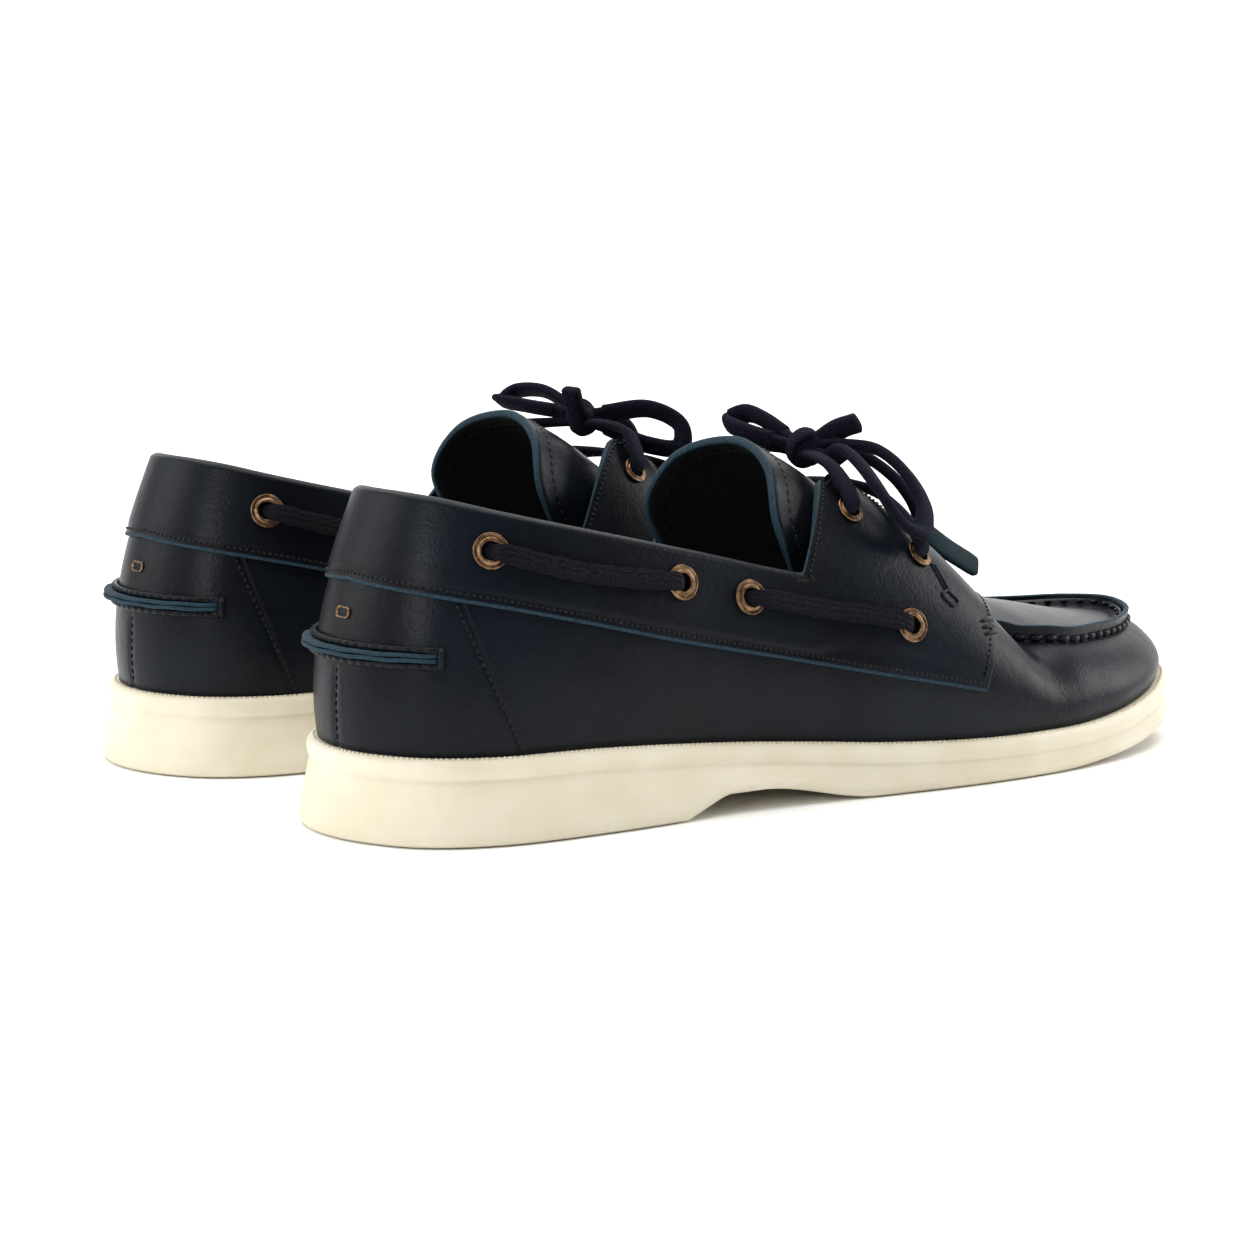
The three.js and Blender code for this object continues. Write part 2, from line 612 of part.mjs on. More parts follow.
// ---- laces -------------------------------------------------------------------------------
// Flat strip through points, its flat side facing given normals; widths may vary.
function strip(points, normals, widths, thickness) {
  const rings = points.map((point, i) => {
    const before = points[Math.max(i - 1, 0)];
    const after = points[Math.min(i + 1, points.length - 1)];
    const tangent = after.clone().sub(before).normalize();
    const flat = normals[i].clone().addScaledVector(tangent, -normals[i].dot(tangent)).normalize();
    const across = tangent.clone().cross(flat);
    const half = widths[i] / 2;
    const corner = (a, b) => point.clone().addScaledVector(across, a).addScaledVector(flat, b);
    const t = thickness / 2;
    return [corner(-half, 0), corner(-half * 0.7, t), corner(half * 0.7, t), corner(half, 0),
      corner(half * 0.7, -t), corner(-half * 0.7, -t)];
  });
  const triangles = [];
  const sides = rings[0].length;
  for (let i = 0; i < rings.length - 1; i += 1) {
    for (let k = 0; k < sides; k += 1) {
      const m = (k + 1) % sides;
      triangles.push(...quad(rings[i][k], rings[i][m], rings[i + 1][m], rings[i + 1][k]));
    }
  }
  for (const [ring, first] of [[rings[0], true], [rings[rings.length - 1], false]]) {
    for (let k = 1; k < sides - 1; k += 1) {
      triangles.push(first ? [ring[0], ring[k + 1], ring[k]] : [ring[0], ring[k], ring[k + 1]]);
    }
  }
  return solid(triangles);
}

// Heights of the lace's middle over the last: in the channel, in a bore, and outside.
const CHANNEL = -1.05;
const OUTSIDE = COLLAR_OUTER + FIT_GAP + EYELET_LIP + FIT_GAP + LACE_THICKNESS / 2 + 0.2;
const BORE_LEVEL = mix(CHANNEL, OUTSIDE, 0.42);

// Route of the side lace on one side, heel to front: [station, share, level, width].
function sideLaceRoute(side) {
  const [heel, rear, waist, front] = eyeletsOf(side).slice(0, 4);
  const near = 0.006;
  const shareOf = (q) => {
    const rows = [[0, shareAt(0, alongSide(TOPLINE, 0) - 10.5)], [0.08, 0.79],
      ...[heel, rear, waist, front].map((e) => [e[1], e[2]]), [0.61, 0.388]];
    let i = 0;
    while (i < rows.length - 2 && rows[i + 1][0] <= q) i += 1;
    return mix(rows[i][1], rows[i + 1][1], (q - rows[i][0]) / (rows[i + 1][0] - rows[i][0]));
  };
  const route = [];
  const add = (q, level, width) => route.push([q, shareOf(q), level, width]);
  for (const q of [0, 0.025, 0.05, 0.075, 0.1, 0.12]) add(q, CHANNEL, LACE_WIDTH);
  const passIn = (q, outward) => {
    const rows = [[-7, CHANNEL, 0.9], [-2.6, CHANNEL, 0], [0, BORE_LEVEL, 0],
      [2.6, OUTSIDE + 0.1, 0], [7.5, OUTSIDE + 0.3, 0.9]];
    const ordered = outward ? rows : rows.map(([d, l, f]) => [-d, l, f]).reverse();
    const reach = lastPoint(side * (q + 0.01), 0.5).distanceTo(lastPoint(side * (q - 0.01), 0.5)) / 0.02;
    for (const [d, level, fullness] of ordered) {
      add(q + d / reach, level, mix(LACE_NARROW, LACE_WIDTH, fullness));
    }
  };
  passIn(heel[1], true);
  for (const f of [0.3, 0.5, 0.7]) add(mix(heel[1], rear[1], f), OUTSIDE + 0.4, LACE_WIDTH);
  passIn(rear[1], false);
  passIn(waist[1], true);
  for (const f of [0.3, 0.5, 0.7]) add(mix(waist[1], front[1], f), OUTSIDE + 0.4, LACE_WIDTH);
  passIn(front[1], false);
  return route.filter((row, i) => i === 0 || row[0] > route[i - 1][0] + near / 2);
}

function makeSideLace() {
  const medial = sideLaceRoute(-1).slice(1).reverse().map(([q, ...rest]) => [-q, ...rest]);
  const route = [...medial, ...sideLaceRoute(1)];
  const points = route.map(([q, share, level]) => onLast(q, share, level));
  const normals = route.map(([q, share]) => lastNormal(q, share));
  return strip(points, normals, route.map((row) => row[3]), LACE_THICKNESS);
}

// A chosen point of the bow, which moves with the size of the shoe.
const graded = ([x, w, z]) => new THREE.Vector3(x * GRADE_X, w * GRADE_W, patternHeight(0.5, z));

// Near the knot a point of the bow keeps its distance from it, and further off it follows the shoe.
function besideKnot(place, knot) {
  const offset = new THREE.Vector3(...place).sub(new THREE.Vector3(...knot));
  const free = THREE.MathUtils.smoothstep(offset.length(), KNOT_RADIUS + 4, KNOT_RADIUS + 24);
  return graded(knot).add(offset).lerp(graded(place), free);
}

// Smooth strip through chosen points of a bow.
function laceAlong(knot, places, up, width, thickness, pieces) {
  const controls = places.map((place) => besideKnot(place, knot));
  const points = new THREE.CatmullRomCurve3(controls, false, 'centripetal').getSpacedPoints(pieces);
  const normals = points.map(() => new THREE.Vector3(...up));
  return strip(points, normals, points.map(() => width), thickness);
}

// The bow of each foot, in shoe coordinates.
const BOWS = {
  right: {
    knot: [163, 2, 93],
    outer: [[169, 9.4, 94.4], [176, 19, 93], [179, 29, 86], [178, 37, 78], [172, 42, 72],
      [165, 42, 75], [161, 38, 83], [162, 28, 90], [165, 17, 93], [166.4, 10.2, 90.4]],
    inner: [[162, -4.8, 96.5], [161, -13, 100], [160, -21, 101.5], [156, -24, 99], [155, -15, 97],
      [157.8, -5.7, 95]],
    tail: [[170, 3, 91], [179, 6, 91], [187, 12, 85], [191, 17, 77.5], [193, 19.3, 70.6]],
    tip: [[193.2, 19.6, 69.0], [200, 20.5, 64], [214, 20, 56.5]],
  },
  left: {
    knot: [166, -2, 94],
    outer: [[166, 5.3, 97.5], [163, 15, 101.5], [159, 25, 101], [154, 26, 98.5], [157, 16, 97],
      [161.8, 6.2, 95.8]],
    inner: [[171, -7.2, 95.3], [181, -18, 97], [187, -26, 92], [186, -27, 85.5], [178, -21, 86],
      [170.6, -8.4, 91.3]],
    tail: [[172.6, -3, 92], [181, -2, 92], [189, 3, 86], [194, 7.5, 78], [196.3, 10.3, 70.6]],
    tip: [[196.5, 10.5, 69.4], [202, 13, 65], [212, 16, 59]],
  },
};

// Strip out of an upper eyelet and up its slope: rows of [point, facing, width].
function laceOutOf(eyelet, side, steps) {
  const [, q, share] = eyelet;
  const upSlope = onLast(side * q, share + 0.05, 0).sub(onLast(side * q, share, 0)).normalize();
  const down = upSlope.clone().negate();
  const turning = down.clone().add(lastNormal(side * q, share));
  const rows = [[0, -0.5, down, LACE_IN_BORE], [0, 1.5, down, LACE_IN_BORE],
    [0.008, OUTSIDE - 0.2, turning, LACE_IN_BORE]];
  for (const step of steps) rows.push([step, OUTSIDE, lastNormal(side * q, share + step), LACE_WIDTH]);
  return rows.map(([step, level, face, width]) => [onLast(side * q, share + step, level), face, width]);
}

function stripOf(rows) {
  const [points, facings, widths] = [0, 1, 2].map((k) => rows.map((row) => row[k]));
  return strip(points, facings, widths, LACE_THICKNESS);
}

// Lace that ties the two sides across the throat eyelets.
function makeFrontLace() {
  const steps = [0.08, 0.16, 0.25, 0.32];
  const lateral = laceOutOf(eyeletsOf(1)[5], 1, steps);
  const medial = laceOutOf(eyeletsOf(-1)[5], -1, steps);
  const middle = lateral[6][0].clone().lerp(medial[6][0], 0.5);
  middle.z += 2;
  return stripOf([...lateral, [middle, new THREE.Vector3(0, 0, 1), LACE_WIDTH], ...medial.reverse()]);
}

// Knot, with the two lace ends that carry it from the top eyelets.
function makeKnot(knot) {
  const centre = graded(knot);
  const ball = new THREE.SphereGeometry(KNOT_RADIUS, 10, 6);
  ball.scale(0.85, 0.95, 0.8);
  ball.translate(centre.x, centre.y, centre.z);
  const middle = [centre, new THREE.Vector3(0, 0, 1), LACE_WIDTH];
  const lateral = laceOutOf(eyeletsOf(1)[4], 1, [0.08, 0.14, 0.2]);
  const medial = laceOutOf(eyeletsOf(-1)[4], -1, [0.08, 0.14, 0.2]);
  const carried = toManifold(stripOf([...lateral, middle, ...medial.reverse()]));
  return fromManifold(carried.add(toManifold(plain(ball))));
}

// ---- assembly ----------------------------------------------------------------------------
const pair = new THREE.Group();
const outsole = makeOutsole();
const SOLE_MIDDLE = new THREE.Box3().setFromBufferAttribute(outsole.attributes.position)
  .getCenter(new THREE.Vector3()).x;

function addMesh(foot, name, geometry, look) {
  const mirrored = foot === 'right';
  const placed = geometry.clone();
  const y = mirrored ? -SHOE_SPACING / 2 : SHOE_SPACING / 2;
  placed.applyMatrix4(new THREE.Matrix4().makeScale(1, mirrored ? -1 : 1, 1));
  placed.translate(-SOLE_MIDDLE, y, 0);
  const mesh = new THREE.Mesh(mirrored ? flipped(placed) : placed, look);
  mesh.name = `${foot}_${name}`;
  pair.add(mesh);
}

const COMMON_PIECES = [
  ['outsole', outsole, CREAM_RUBBER],
  ['footbed', makeInnerBoard(0, FOOTBED_THICKNESS, FOOTBED_INSET), TAN_BOARD],
  ['insole', makeInnerBoard(FOOTBED_THICKNESS + FIT_GAP, INSOLE_THICKNESS, FOOTBED_INSET), NAVY_LEATHER],
  ['vamp', makeVamp(), NAVY_LEATHER],
  ['apron', makeApron(), NAVY_LEATHER],
  ['tongue', makeTongue(), NAVY_LEATHER],
  ['collar', makeCollar(), NAVY_LEATHER],
  ['lining', makeLining(), BLACK_LINING],
  ['heel_patch', makeHeelPatch(), NAVY_LEATHER],
  ['heel_roll', makeHeelRoll(), NAVY_LEATHER],
  ['heel_stud', makeHeelStud(), AGED_BRASS],
  ['lace_side', makeSideLace(), NAVY_SUEDE],
];
for (const side of [1, -1]) {
  for (const [name, q, share, isTop] of eyeletsOf(side)) {
    const label = `${name}_${side > 0 ? 'lateral' : 'medial'}`;
    COMMON_PIECES.push([label, makeEyelet(side, q, share, isTop), AGED_BRASS]);
  }
}

for (const foot of ['right', 'left']) {
  const bow = BOWS[foot];
  for (const [name, geometry, look] of COMMON_PIECES) addMesh(foot, name, geometry, look);
  addMesh(foot, 'lace_front', makeFrontLace(), NAVY_SUEDE);
  addMesh(foot, 'lace_knot', makeKnot(bow.knot), NAVY_SUEDE);
  const along = (places, up, pieces) => laceAlong(bow.knot, places, up, LACE_WIDTH, BOW_THICKNESS, pieces);
  addMesh(foot, 'lace_loop_outer', along(bow.outer, [0.5, 0.3, 0.8], 16), NAVY_SUEDE);
  addMesh(foot, 'lace_loop_inner', along(bow.inner, [0.8, 0.3, 0.5], 14), NAVY_SUEDE);
  addMesh(foot, 'lace_tail', along(bow.tail, [0.6, 0.3, 0.8], 10), NAVY_SUEDE);
  const tip = laceAlong(bow.knot, bow.tip, [0.4, 0.3, 0.9], TIP_WIDTH, TIP_THICKNESS, 4);
  addMesh(foot, 'lace_tip', tip, TEAL_LEATHER);
}

export default pair;
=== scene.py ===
# A pair of navy leather deck shoes with cream rubber soles, rawhide side laces and tied bows.
# Each shoe is worked out in shoe coordinates in millimetres: x from the heel, w outwards on
# the lateral side, z up from the ground. It is then placed for its foot, in metres.
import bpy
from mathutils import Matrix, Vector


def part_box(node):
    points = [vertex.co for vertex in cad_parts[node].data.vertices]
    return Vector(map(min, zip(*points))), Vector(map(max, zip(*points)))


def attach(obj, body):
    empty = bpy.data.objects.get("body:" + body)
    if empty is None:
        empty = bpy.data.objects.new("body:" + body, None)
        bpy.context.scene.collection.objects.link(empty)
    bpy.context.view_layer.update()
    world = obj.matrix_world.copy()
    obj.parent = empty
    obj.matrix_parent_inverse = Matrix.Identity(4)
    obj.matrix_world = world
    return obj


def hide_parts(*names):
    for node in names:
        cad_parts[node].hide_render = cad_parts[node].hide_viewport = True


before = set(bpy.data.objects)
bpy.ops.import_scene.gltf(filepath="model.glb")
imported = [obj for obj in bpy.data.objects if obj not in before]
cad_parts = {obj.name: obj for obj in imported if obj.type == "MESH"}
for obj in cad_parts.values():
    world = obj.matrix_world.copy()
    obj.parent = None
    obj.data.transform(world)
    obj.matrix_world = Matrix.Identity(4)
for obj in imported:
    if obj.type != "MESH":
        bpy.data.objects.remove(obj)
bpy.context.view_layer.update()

import math

import bpy
import numpy as np
from mathutils import Vector

MM = 0.001
FOOTBED_HEEL_X = 11.7
SOLE_MIDDLE = FOOTBED_HEEL_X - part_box("right_footbed")[0].x / MM
SHOE_SPACING = 112.5
FEET = {"right": -1, "left": 1}

# ---- sizes that the pieces share, in millimetres ---------------------------------------------
# Levels of the leathers over the last, then the moc seam, the laces and the eyelets.
VAMP_THICKNESS = 1.5
LAP_STEP = 0.55
COLLAR_OUTER = 1.75
PATCH_OUTER = 0.45
SEAM_RISE = 4.2
APRON_CROWN = 9.0
# The seam sinks a little where the apron runs in under the collar.
SEAM_DIP, SEAM_DIP_AT, SEAM_DIP_SPREAD = 4.6, 0.773, 0.026
COLLAR_LAP = 7.0
LACE_WIDTH = 5.4
LACE_THICKNESS = 1.9
BOW_WIDTH = 6.4
BOW_THICKNESS = 3.3
SIDE_EYELET = {"flange": 4.9, "bore": 2.5}
TOP_EYELET = {"flange": 4.1, "bore": 2.4}
BAND_STITCH = 1.7
MOC_STITCH = 5.0
STITCH_MARGIN = 1.3
# Levels of the side lace: in the channel behind the collar, and outside on top of it.
CHANNEL = -1.05
OUTSIDE = 4.1

# ---- places of the pattern: stations q, or heights above the ground --------------------------
FLAP_FOOT = 0.488
FLAP_PEAK = 0.542
THROAT_TOP = 0.575
THROAT_FOOT = 0.745
COLLAR_FOOT = 0.668
HEEL_SEAM_TOP = 0.120
HEEL_SEAM_BOTTOM = 0.196
ROLL_END = 0.110
ROLL_Z = 48.6
STUD_Z = 58.2
MEDIAL_SET = 0.028

# Stations round one side, heel (0) to toe (1): [station, base x, lateral w, medial w, base z,
# top x, lateral w, medial w, lateral z, medial z, bulge, lean].
STATIONS = [
    [0.000, 6.5, 0, 0, 23.0, 22.0, 0, 0, 94.5, 94.5, 5.0, 0.35],
    [0.050, 9.0, 13, 13, 23.0, 23.5, 10.5, 10.5, 94.2, 94.2, 5.0, 0.35],
    [0.100, 16.5, 25.5, 25, 23.0, 28.5, 18.5, 18.5, 93.4, 93.4, 5.0, 0.35],
    [0.170, 33, 34.5, 33.5, 22.8, 40, 26, 26, 91.8, 91.8, 3.5, 0.35],
    [0.280, 65, 38.5, 35.5, 22.2, 66, 31, 31, 89.0, 89.0, 4.5, 0.35],
    [0.400, 105, 39.5, 34.0, 19.3, 106, 29.5, 31.0, 87.0, 88.0, 6.0, 0.45],
    [0.500, 135, 43.0, 36.5, 16.6, 136, 24.5, 30.0, 87.5, 91.0, 7.0, 0.60],
    [0.570, 155, 47.0, 40.5, 14.8, 157, 19.0, 26.0, 86.0, 91.0, 7.0, 0.70],
    [0.660, 185, 51.5, 45.5, 13.1, 183, 18.5, 22.0, 70.5, 74.0, 6.5, 0.75],
    [0.750, 212, 52.5, 47.5, 12.6, 207, 28.0, 26.5, 46.5, 47.0, 5.0, 0.70],
    [0.812, 232, 51.0, 47.0, 12.9, 230, 38.0, 36.0, 35.5, 35.5, 4.0, 0.60],
    [0.872, 254, 46.0, 43.5, 15.0, 252, 33.5, 32.5, 33.5, 33.5, 3.5, 0.60],
    [0.927, 275, 35.5, 34.5, 18.3, 272.5, 24.5, 24.0, 33.3, 33.3, 3.5, 0.60],
    [0.970, 290, 20.0, 20.0, 21.0, 285.5, 13.0, 13.0, 34.2, 34.2, 3.5, 0.60],
    [1.000, 295.5, 0, 0, 21.5, 290.0, 0, 0, 34.8, 34.8, 3.5, 0.60],
]
# Heights of the pattern edges above the ground, [station, z].
TOPLINE = [[0, 89.8], [0.044, 89.6], [0.1, 88.3], [0.17, 85], [0.28, 78.5], [0.376, 71],
           [0.44, 66], [0.488, 62.7]]
BAND_SEAM = [[0, 67.2], [0.072, 65.6], [0.17, 61.5], [0.272, 55], [0.366, 47.4],
             [0.472, 40.4], [0.58, 33.6], [0.668, 27.2]]
# Eyelets of one side: [name, station, share of the height, size].
EYELETS = [
    ["heel", 0.160, 0.72, SIDE_EYELET],
    ["rear", 0.354, 0.59, SIDE_EYELET],
    ["waist", 0.422, 0.51, SIDE_EYELET],
    ["front", 0.596, 0.39, SIDE_EYELET],
    ["top", 0.562, 0.78, TOP_EYELET],
    ["throat", 0.628, 0.68, TOP_EYELET],
]
# The tongue's cross-sections from the throat back to the free edge, [x, w, z].
TONGUE_SECTIONS = [
    [[205, 19, 50.5], [205, 15, 53], [205, 9, 54.6], [205, 0, 55.2]],
    [[192, 25, 50], [192, 21, 57.5], [192, 12, 61.8], [192, 0, 63]],
    [[178, 29, 50.5], [178, 24.5, 61], [178, 14, 69], [178, 0, 71.2]],
    [[164, 31, 52], [163, 27, 67], [164, 15.5, 78.5], [164, 0, 81.2]],
    [[150, 31, 54.5], [147, 29.5, 72], [149, 19, 86.5], [151, 0, 90.5]],
    [[138, 30, 57.5], [130, 30.5, 76.5], [134, 21.5, 91.5], [139, 0, 97.5]],
]
# The bows, in shoe coordinates.
BOWS = {
    "right": {
        "knot": [163, 2, 93],
        "outer": [[169, 9.4, 94.4], [176, 19, 93], [179, 29, 86], [178, 37, 78], [172, 42, 72],
                  [165, 42, 75], [161, 38, 83], [162, 28, 90], [165, 17, 93], [166.4, 10.2, 90.4]],
        "inner": [[162, -4.8, 96.5], [161, -13, 100], [160, -21, 101.5], [156, -24, 99],
                  [155, -15, 97], [157.8, -5.7, 95]],
        "tail": [[170, 3, 91], [179, 6, 91], [187, 12, 85], [191, 17, 77.5], [193, 19.3, 70.6]],
        "tip": [[193.2, 19.6, 69.0], [200, 20.5, 64], [214, 20, 56.5]],
        "stub": [[166, 4, 94], [170, 9, 98.5], [173, 13.5, 100.5]],
    },
    "left": {
        "knot": [166, -2, 94],
        "outer": [[166, 5.3, 97.5], [163, 15, 101.5], [159, 25, 101], [154, 26, 98.5],
                  [157, 16, 97], [161.8, 6.2, 95.8]],
        "inner": [[171, -7.2, 95.3], [181, -18, 97], [187, -26, 92], [186, -27, 85.5],
                  [178, -21, 86], [170.6, -8.4, 91.3]],
        "tail": [[172.6, -3, 92], [181, -2, 92], [189, 3, 86], [194, 7.5, 78],
                 [196.3, 10.3, 70.6]],
        "tip": [[196.5, 10.5, 69.4], [202, 13, 65], [212, 16, 59]],
        "stub": [[164, -4, 94], [160, -6, 99], [158, -7, 103.4]],
    },
}


# ---- curves and the surface of the last ------------------------------------------------------
def spline(rows, q):
    """Cubic through rows [parameter, values...], with mean slopes as tangents."""
    rows = np.asarray(rows, float)
    key, value = rows[:, 0], rows[:, 1:]
    q = np.clip(np.asarray(q, float), key[0], key[-1])
    slope = np.diff(value, axis=0) / np.diff(key)[:, None]
    tangent = np.vstack([slope[:1], (slope[1:] + slope[:-1]) / 2, slope[-1:]])
    i = np.clip(np.searchsorted(key, q, side="right") - 1, 0, len(key) - 2)
    h = (key[i + 1] - key[i])[..., None]
    t = (q - key[i])[..., None] / h
    return ((2 * t**3 - 3 * t**2 + 1) * value[i] + (t**3 - 2 * t**2 + t) * h * tangent[i]
            + (3 * t**2 - 2 * t**3) * value[i + 1] + (t**3 - t**2) * h * tangent[i + 1])


def along_side(rows, q):
    """Value of a table of one side at stations of either side."""
    return spline(rows, np.abs(q))[..., 0]


def ring_rows():
    """Both sides in one closed table, from the toe over the medial side and heel to the toe."""
    lateral = [[q, bx, bl, bz, tx, tl, zl, bulge, lean]
               for q, bx, bl, bm, bz, tx, tl, tm, zl, zm, bulge, lean in STATIONS]
    medial = [[-q, bx, -bm, bz, tx, -tm, zm, bulge, lean]
              for q, bx, bl, bm, bz, tx, tl, tm, zl, zm, bulge, lean in STATIONS][:0:-1]
    before = [[row[0] - 2, *row[1:]] for row in lateral[-4:-1]]
    after = [[row[0] + 2, *row[1:]] for row in medial[1:4]]
    return np.array(before + medial + lateral + after, float)


RING = ring_rows()


def smoothstep(x, low, high):
    """0 below low, 1 above high, and smooth between them."""
    t = np.clip((np.asarray(x, float) - low) / (high - low), 0, 1)
    return t * t * (3 - 2 * t)


def unit(v):
    return v / np.maximum(np.linalg.norm(v, axis=-1, keepdims=True), 1e-12)


def wrap(q):
    """Station within -1 to 1, as the toe is at both ends."""
    q = np.asarray(q, float)
    return q - 2 * np.floor((q + 1) / 2)


def plan_normal(q):
    """Outward direction in plan."""
    a, b = spline(RING, wrap(q) - 1e-4), spline(RING, wrap(q) + 1e-4)
    return unit(np.stack([a[..., 1] - b[..., 1], b[..., 0] - a[..., 0], 0 * a[..., 0]], -1))


def last_point(q, share):
    """Point of the last at a station and a share of the way from the sole to the throat."""
    q, share = np.broadcast_arrays(wrap(q), np.asarray(share, float))
    bx, bw, bz, tx, tw, tz, bulge, lean = np.moveaxis(spline(RING, q), -1, 0)
    tz = tz - SEAM_DIP * np.exp(-((np.abs(q) - SEAM_DIP_AT) / SEAM_DIP_SPREAD) ** 2)
    foot, top = np.stack([bx, bw, bz], -1), np.stack([tx, tw, tz], -1)
    rise = tz - bz
    low = foot + plan_normal(q) * bulge[..., None]
    low = low + np.stack([(tx - bx) * 0.1, 0 * tx, rise * 0.38], -1)
    high = np.stack([tx - (tx - bx) * 0.55, tw - (tw - bw) * lean,
                     tz - rise * (1 - lean) * 0.42], -1)
    t = share[..., None]
    return (1 - t)**3 * foot + 3 * (1 - t)**2 * t * low + 3 * (1 - t) * t**2 * high + t**3 * top


def last_normal(q, share):
    """Outward normal of the last."""
    step = 1e-3
    along = last_point(q + step, share) - last_point(q - step, share)
    up = last_point(q, np.minimum(share + step, 1)) - last_point(q, np.maximum(share - step, 0))
    return unit(np.cross(up, along))


def on_last(q, share, level):
    """Point at a level over the last, in millimetres."""
    q, share, level = np.broadcast_arrays(*(np.asarray(a, float) for a in (q, share, level)))
    return last_point(q, share) + last_normal(q, share) * level[..., None]


def share_at(q, z):
    """Share of the height at which the surface reaches height z."""
    q, z = np.broadcast_arrays(np.asarray(q, float), np.asarray(z, float))
    low, high = np.zeros(q.shape), np.ones(q.shape)
    for _ in range(22):
        middle = (low + high) / 2
        under = last_point(q, middle)[..., 2] < z
        low, high = np.where(under, middle, low), np.where(under, high, middle)
    return (low + high) / 2


def base_height(q):
    """Height of the foot of the last, where the leather meets the sole."""
    return spline(RING, wrap(q))[..., 2]


def smooth_path(controls, count):
    """Points evenly spaced along a centripetal curve through the given points."""
    p = np.asarray(controls, float)
    p = np.vstack([2 * p[0] - p[1], p, 2 * p[-1] - p[-2]])
    knots = np.concatenate([[0], np.cumsum(np.linalg.norm(np.diff(p, axis=0), axis=1) ** 0.5)])
    fine = []
    for i in range(1, len(p) - 2):
        t = np.linspace(knots[i], knots[i + 1], 24)[:, None]
        rows, k = list(p[i - 1:i + 3]), knots[i - 1:i + 3]
        between = lambda a, b, low, high: (a * (high - t) + b * (t - low)) / (high - low)
        first = [between(rows[j], rows[j + 1], k[j], k[j + 1]) for j in range(3)]
        second = [between(first[j], first[j + 1], k[j], k[j + 2]) for j in range(2)]
        fine.append(between(second[0], second[1], k[1], k[2])[:-1])
    return evenly(np.vstack(fine + [p[-2:-1]]), count)


def distances(points):
    """Distance of each point from the first, along the line."""
    return np.concatenate([[0], np.cumsum(np.linalg.norm(np.diff(points, axis=0), axis=1))])


def evenly(points, count):
    """The same line with its points at even distances."""
    run = distances(points)
    want = np.linspace(0, run[-1], count)
    return np.stack([np.interp(want, run, points[:, k]) for k in range(points.shape[1])], -1)


def circle(sides):
    """Angles of the corners of a round."""
    return np.arange(sides) * 2 * math.pi / sides


# ---- camera ----------------------------------------------------------------------------------
CAMERA_AZIMUTH, CAMERA_ELEVATION, CAMERA_ROLL = -37.0, 8.66, 0.13
CAMERA_DISTANCE = 1.27483
CAMERA_TARGET = Vector((0.20383, 0.27942, -0.01791))
SENSOR, LENS = 36.0, 87.52


def make_camera():
    """Long lens behind the right heel, a little above it."""
    turn, tilt = math.radians(CAMERA_AZIMUTH), math.radians(CAMERA_ELEVATION)
    back = Vector((math.sin(turn) * math.cos(tilt), -math.cos(turn) * math.cos(tilt),
                   math.sin(tilt)))
    data = bpy.data.cameras.new("camera")
    data.sensor_width, data.lens = SENSOR, LENS
    data.clip_start, data.clip_end = 0.05, 50
    camera = bpy.data.objects.new("camera", data)
    bpy.context.scene.collection.objects.link(camera)
    camera.location = CAMERA_TARGET + back * CAMERA_DISTANCE
    aim = (-back).to_track_quat("-Z", "Y")
    camera.rotation_euler = aim.to_euler()
    camera.rotation_euler.rotate_axis("Z", math.radians(CAMERA_ROLL))
    bpy.context.scene.camera = camera


make_camera()


# ---- meshes ----------------------------------------------------------------------------------
def placed(points, foot):
    """Shoe coordinates in millimetres to the pair's frame in metres."""
    p = np.asarray(points, float)
    side = FEET[foot]
    return np.stack([(p[..., 0] - SOLE_MIDDLE) * MM,
                     (side * SHOE_SPACING / 2 + side * p[..., 1]) * MM, p[..., 2] * MM], -1)


def make_mesh(foot, name, points, faces, looks, face_looks=None, uv=None, smooth=True):
    """One piece from points in shoe coordinates. Faces turn over on the right foot."""
    if foot == "right":
        faces = [tuple(reversed(face)) for face in faces]
    data = bpy.data.meshes.new(f"{foot}_{name}")
    data.from_pydata(placed(points, foot).tolist(), [], faces)
    for look in looks:
        data.materials.append(look)
    if face_looks is not None:
        data.polygons.foreach_set("material_index", face_looks)
    data.polygons.foreach_set("use_smooth", [smooth] * len(faces))
    if uv is not None:
        layer = data.uv_layers.new(name="run")
        corner = np.zeros(len(data.loops), int)
        data.loops.foreach_get("vertex_index", corner)
        layer.data.foreach_set("uv", np.asarray(uv, float)[corner].ravel())
    data.update()
    piece = bpy.data.objects.new(f"{foot}_{name}", data)
    bpy.context.scene.collection.objects.link(piece)
    return piece


def finish_piece(piece, foot, slot, *nodes, body="shoe"):
    """Rides a piece on its body and hides the CAD nodes that it stands for; its slot is not used.
    """
    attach(piece, f"{foot}_{body}")
    if nodes:
        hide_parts(*[f"{foot}_{node}" for node in nodes])
    return piece


def grid_faces(columns, rows, start=0):
    """Faces between neighbouring columns of points."""
    return [(start + i * rows + k, start + (i + 1) * rows + k,
             start + (i + 1) * rows + k + 1, start + i * rows + k + 1)
            for i in range(columns - 1) for k in range(rows - 1)]


def tube_faces(rings, sides, capped=True):
    """Faces between rings of points, with a cap at each end."""
    faces = [(i * sides + k, i * sides + (k + 1) % sides,
              (i + 1) * sides + (k + 1) % sides, (i + 1) * sides + k)
             for i in range(rings - 1) for k in range(sides)]
    if capped:
        faces.append(tuple(reversed(range(sides))))
        faces.append(tuple((rings - 1) * sides + k for k in range(sides)))
    return faces


# Steps over the rounded cut edge of a leather piece, from its outer to its inner face.
EDGE_TURNS = (0.14, 0.32, 0.5, 0.68, 0.86)


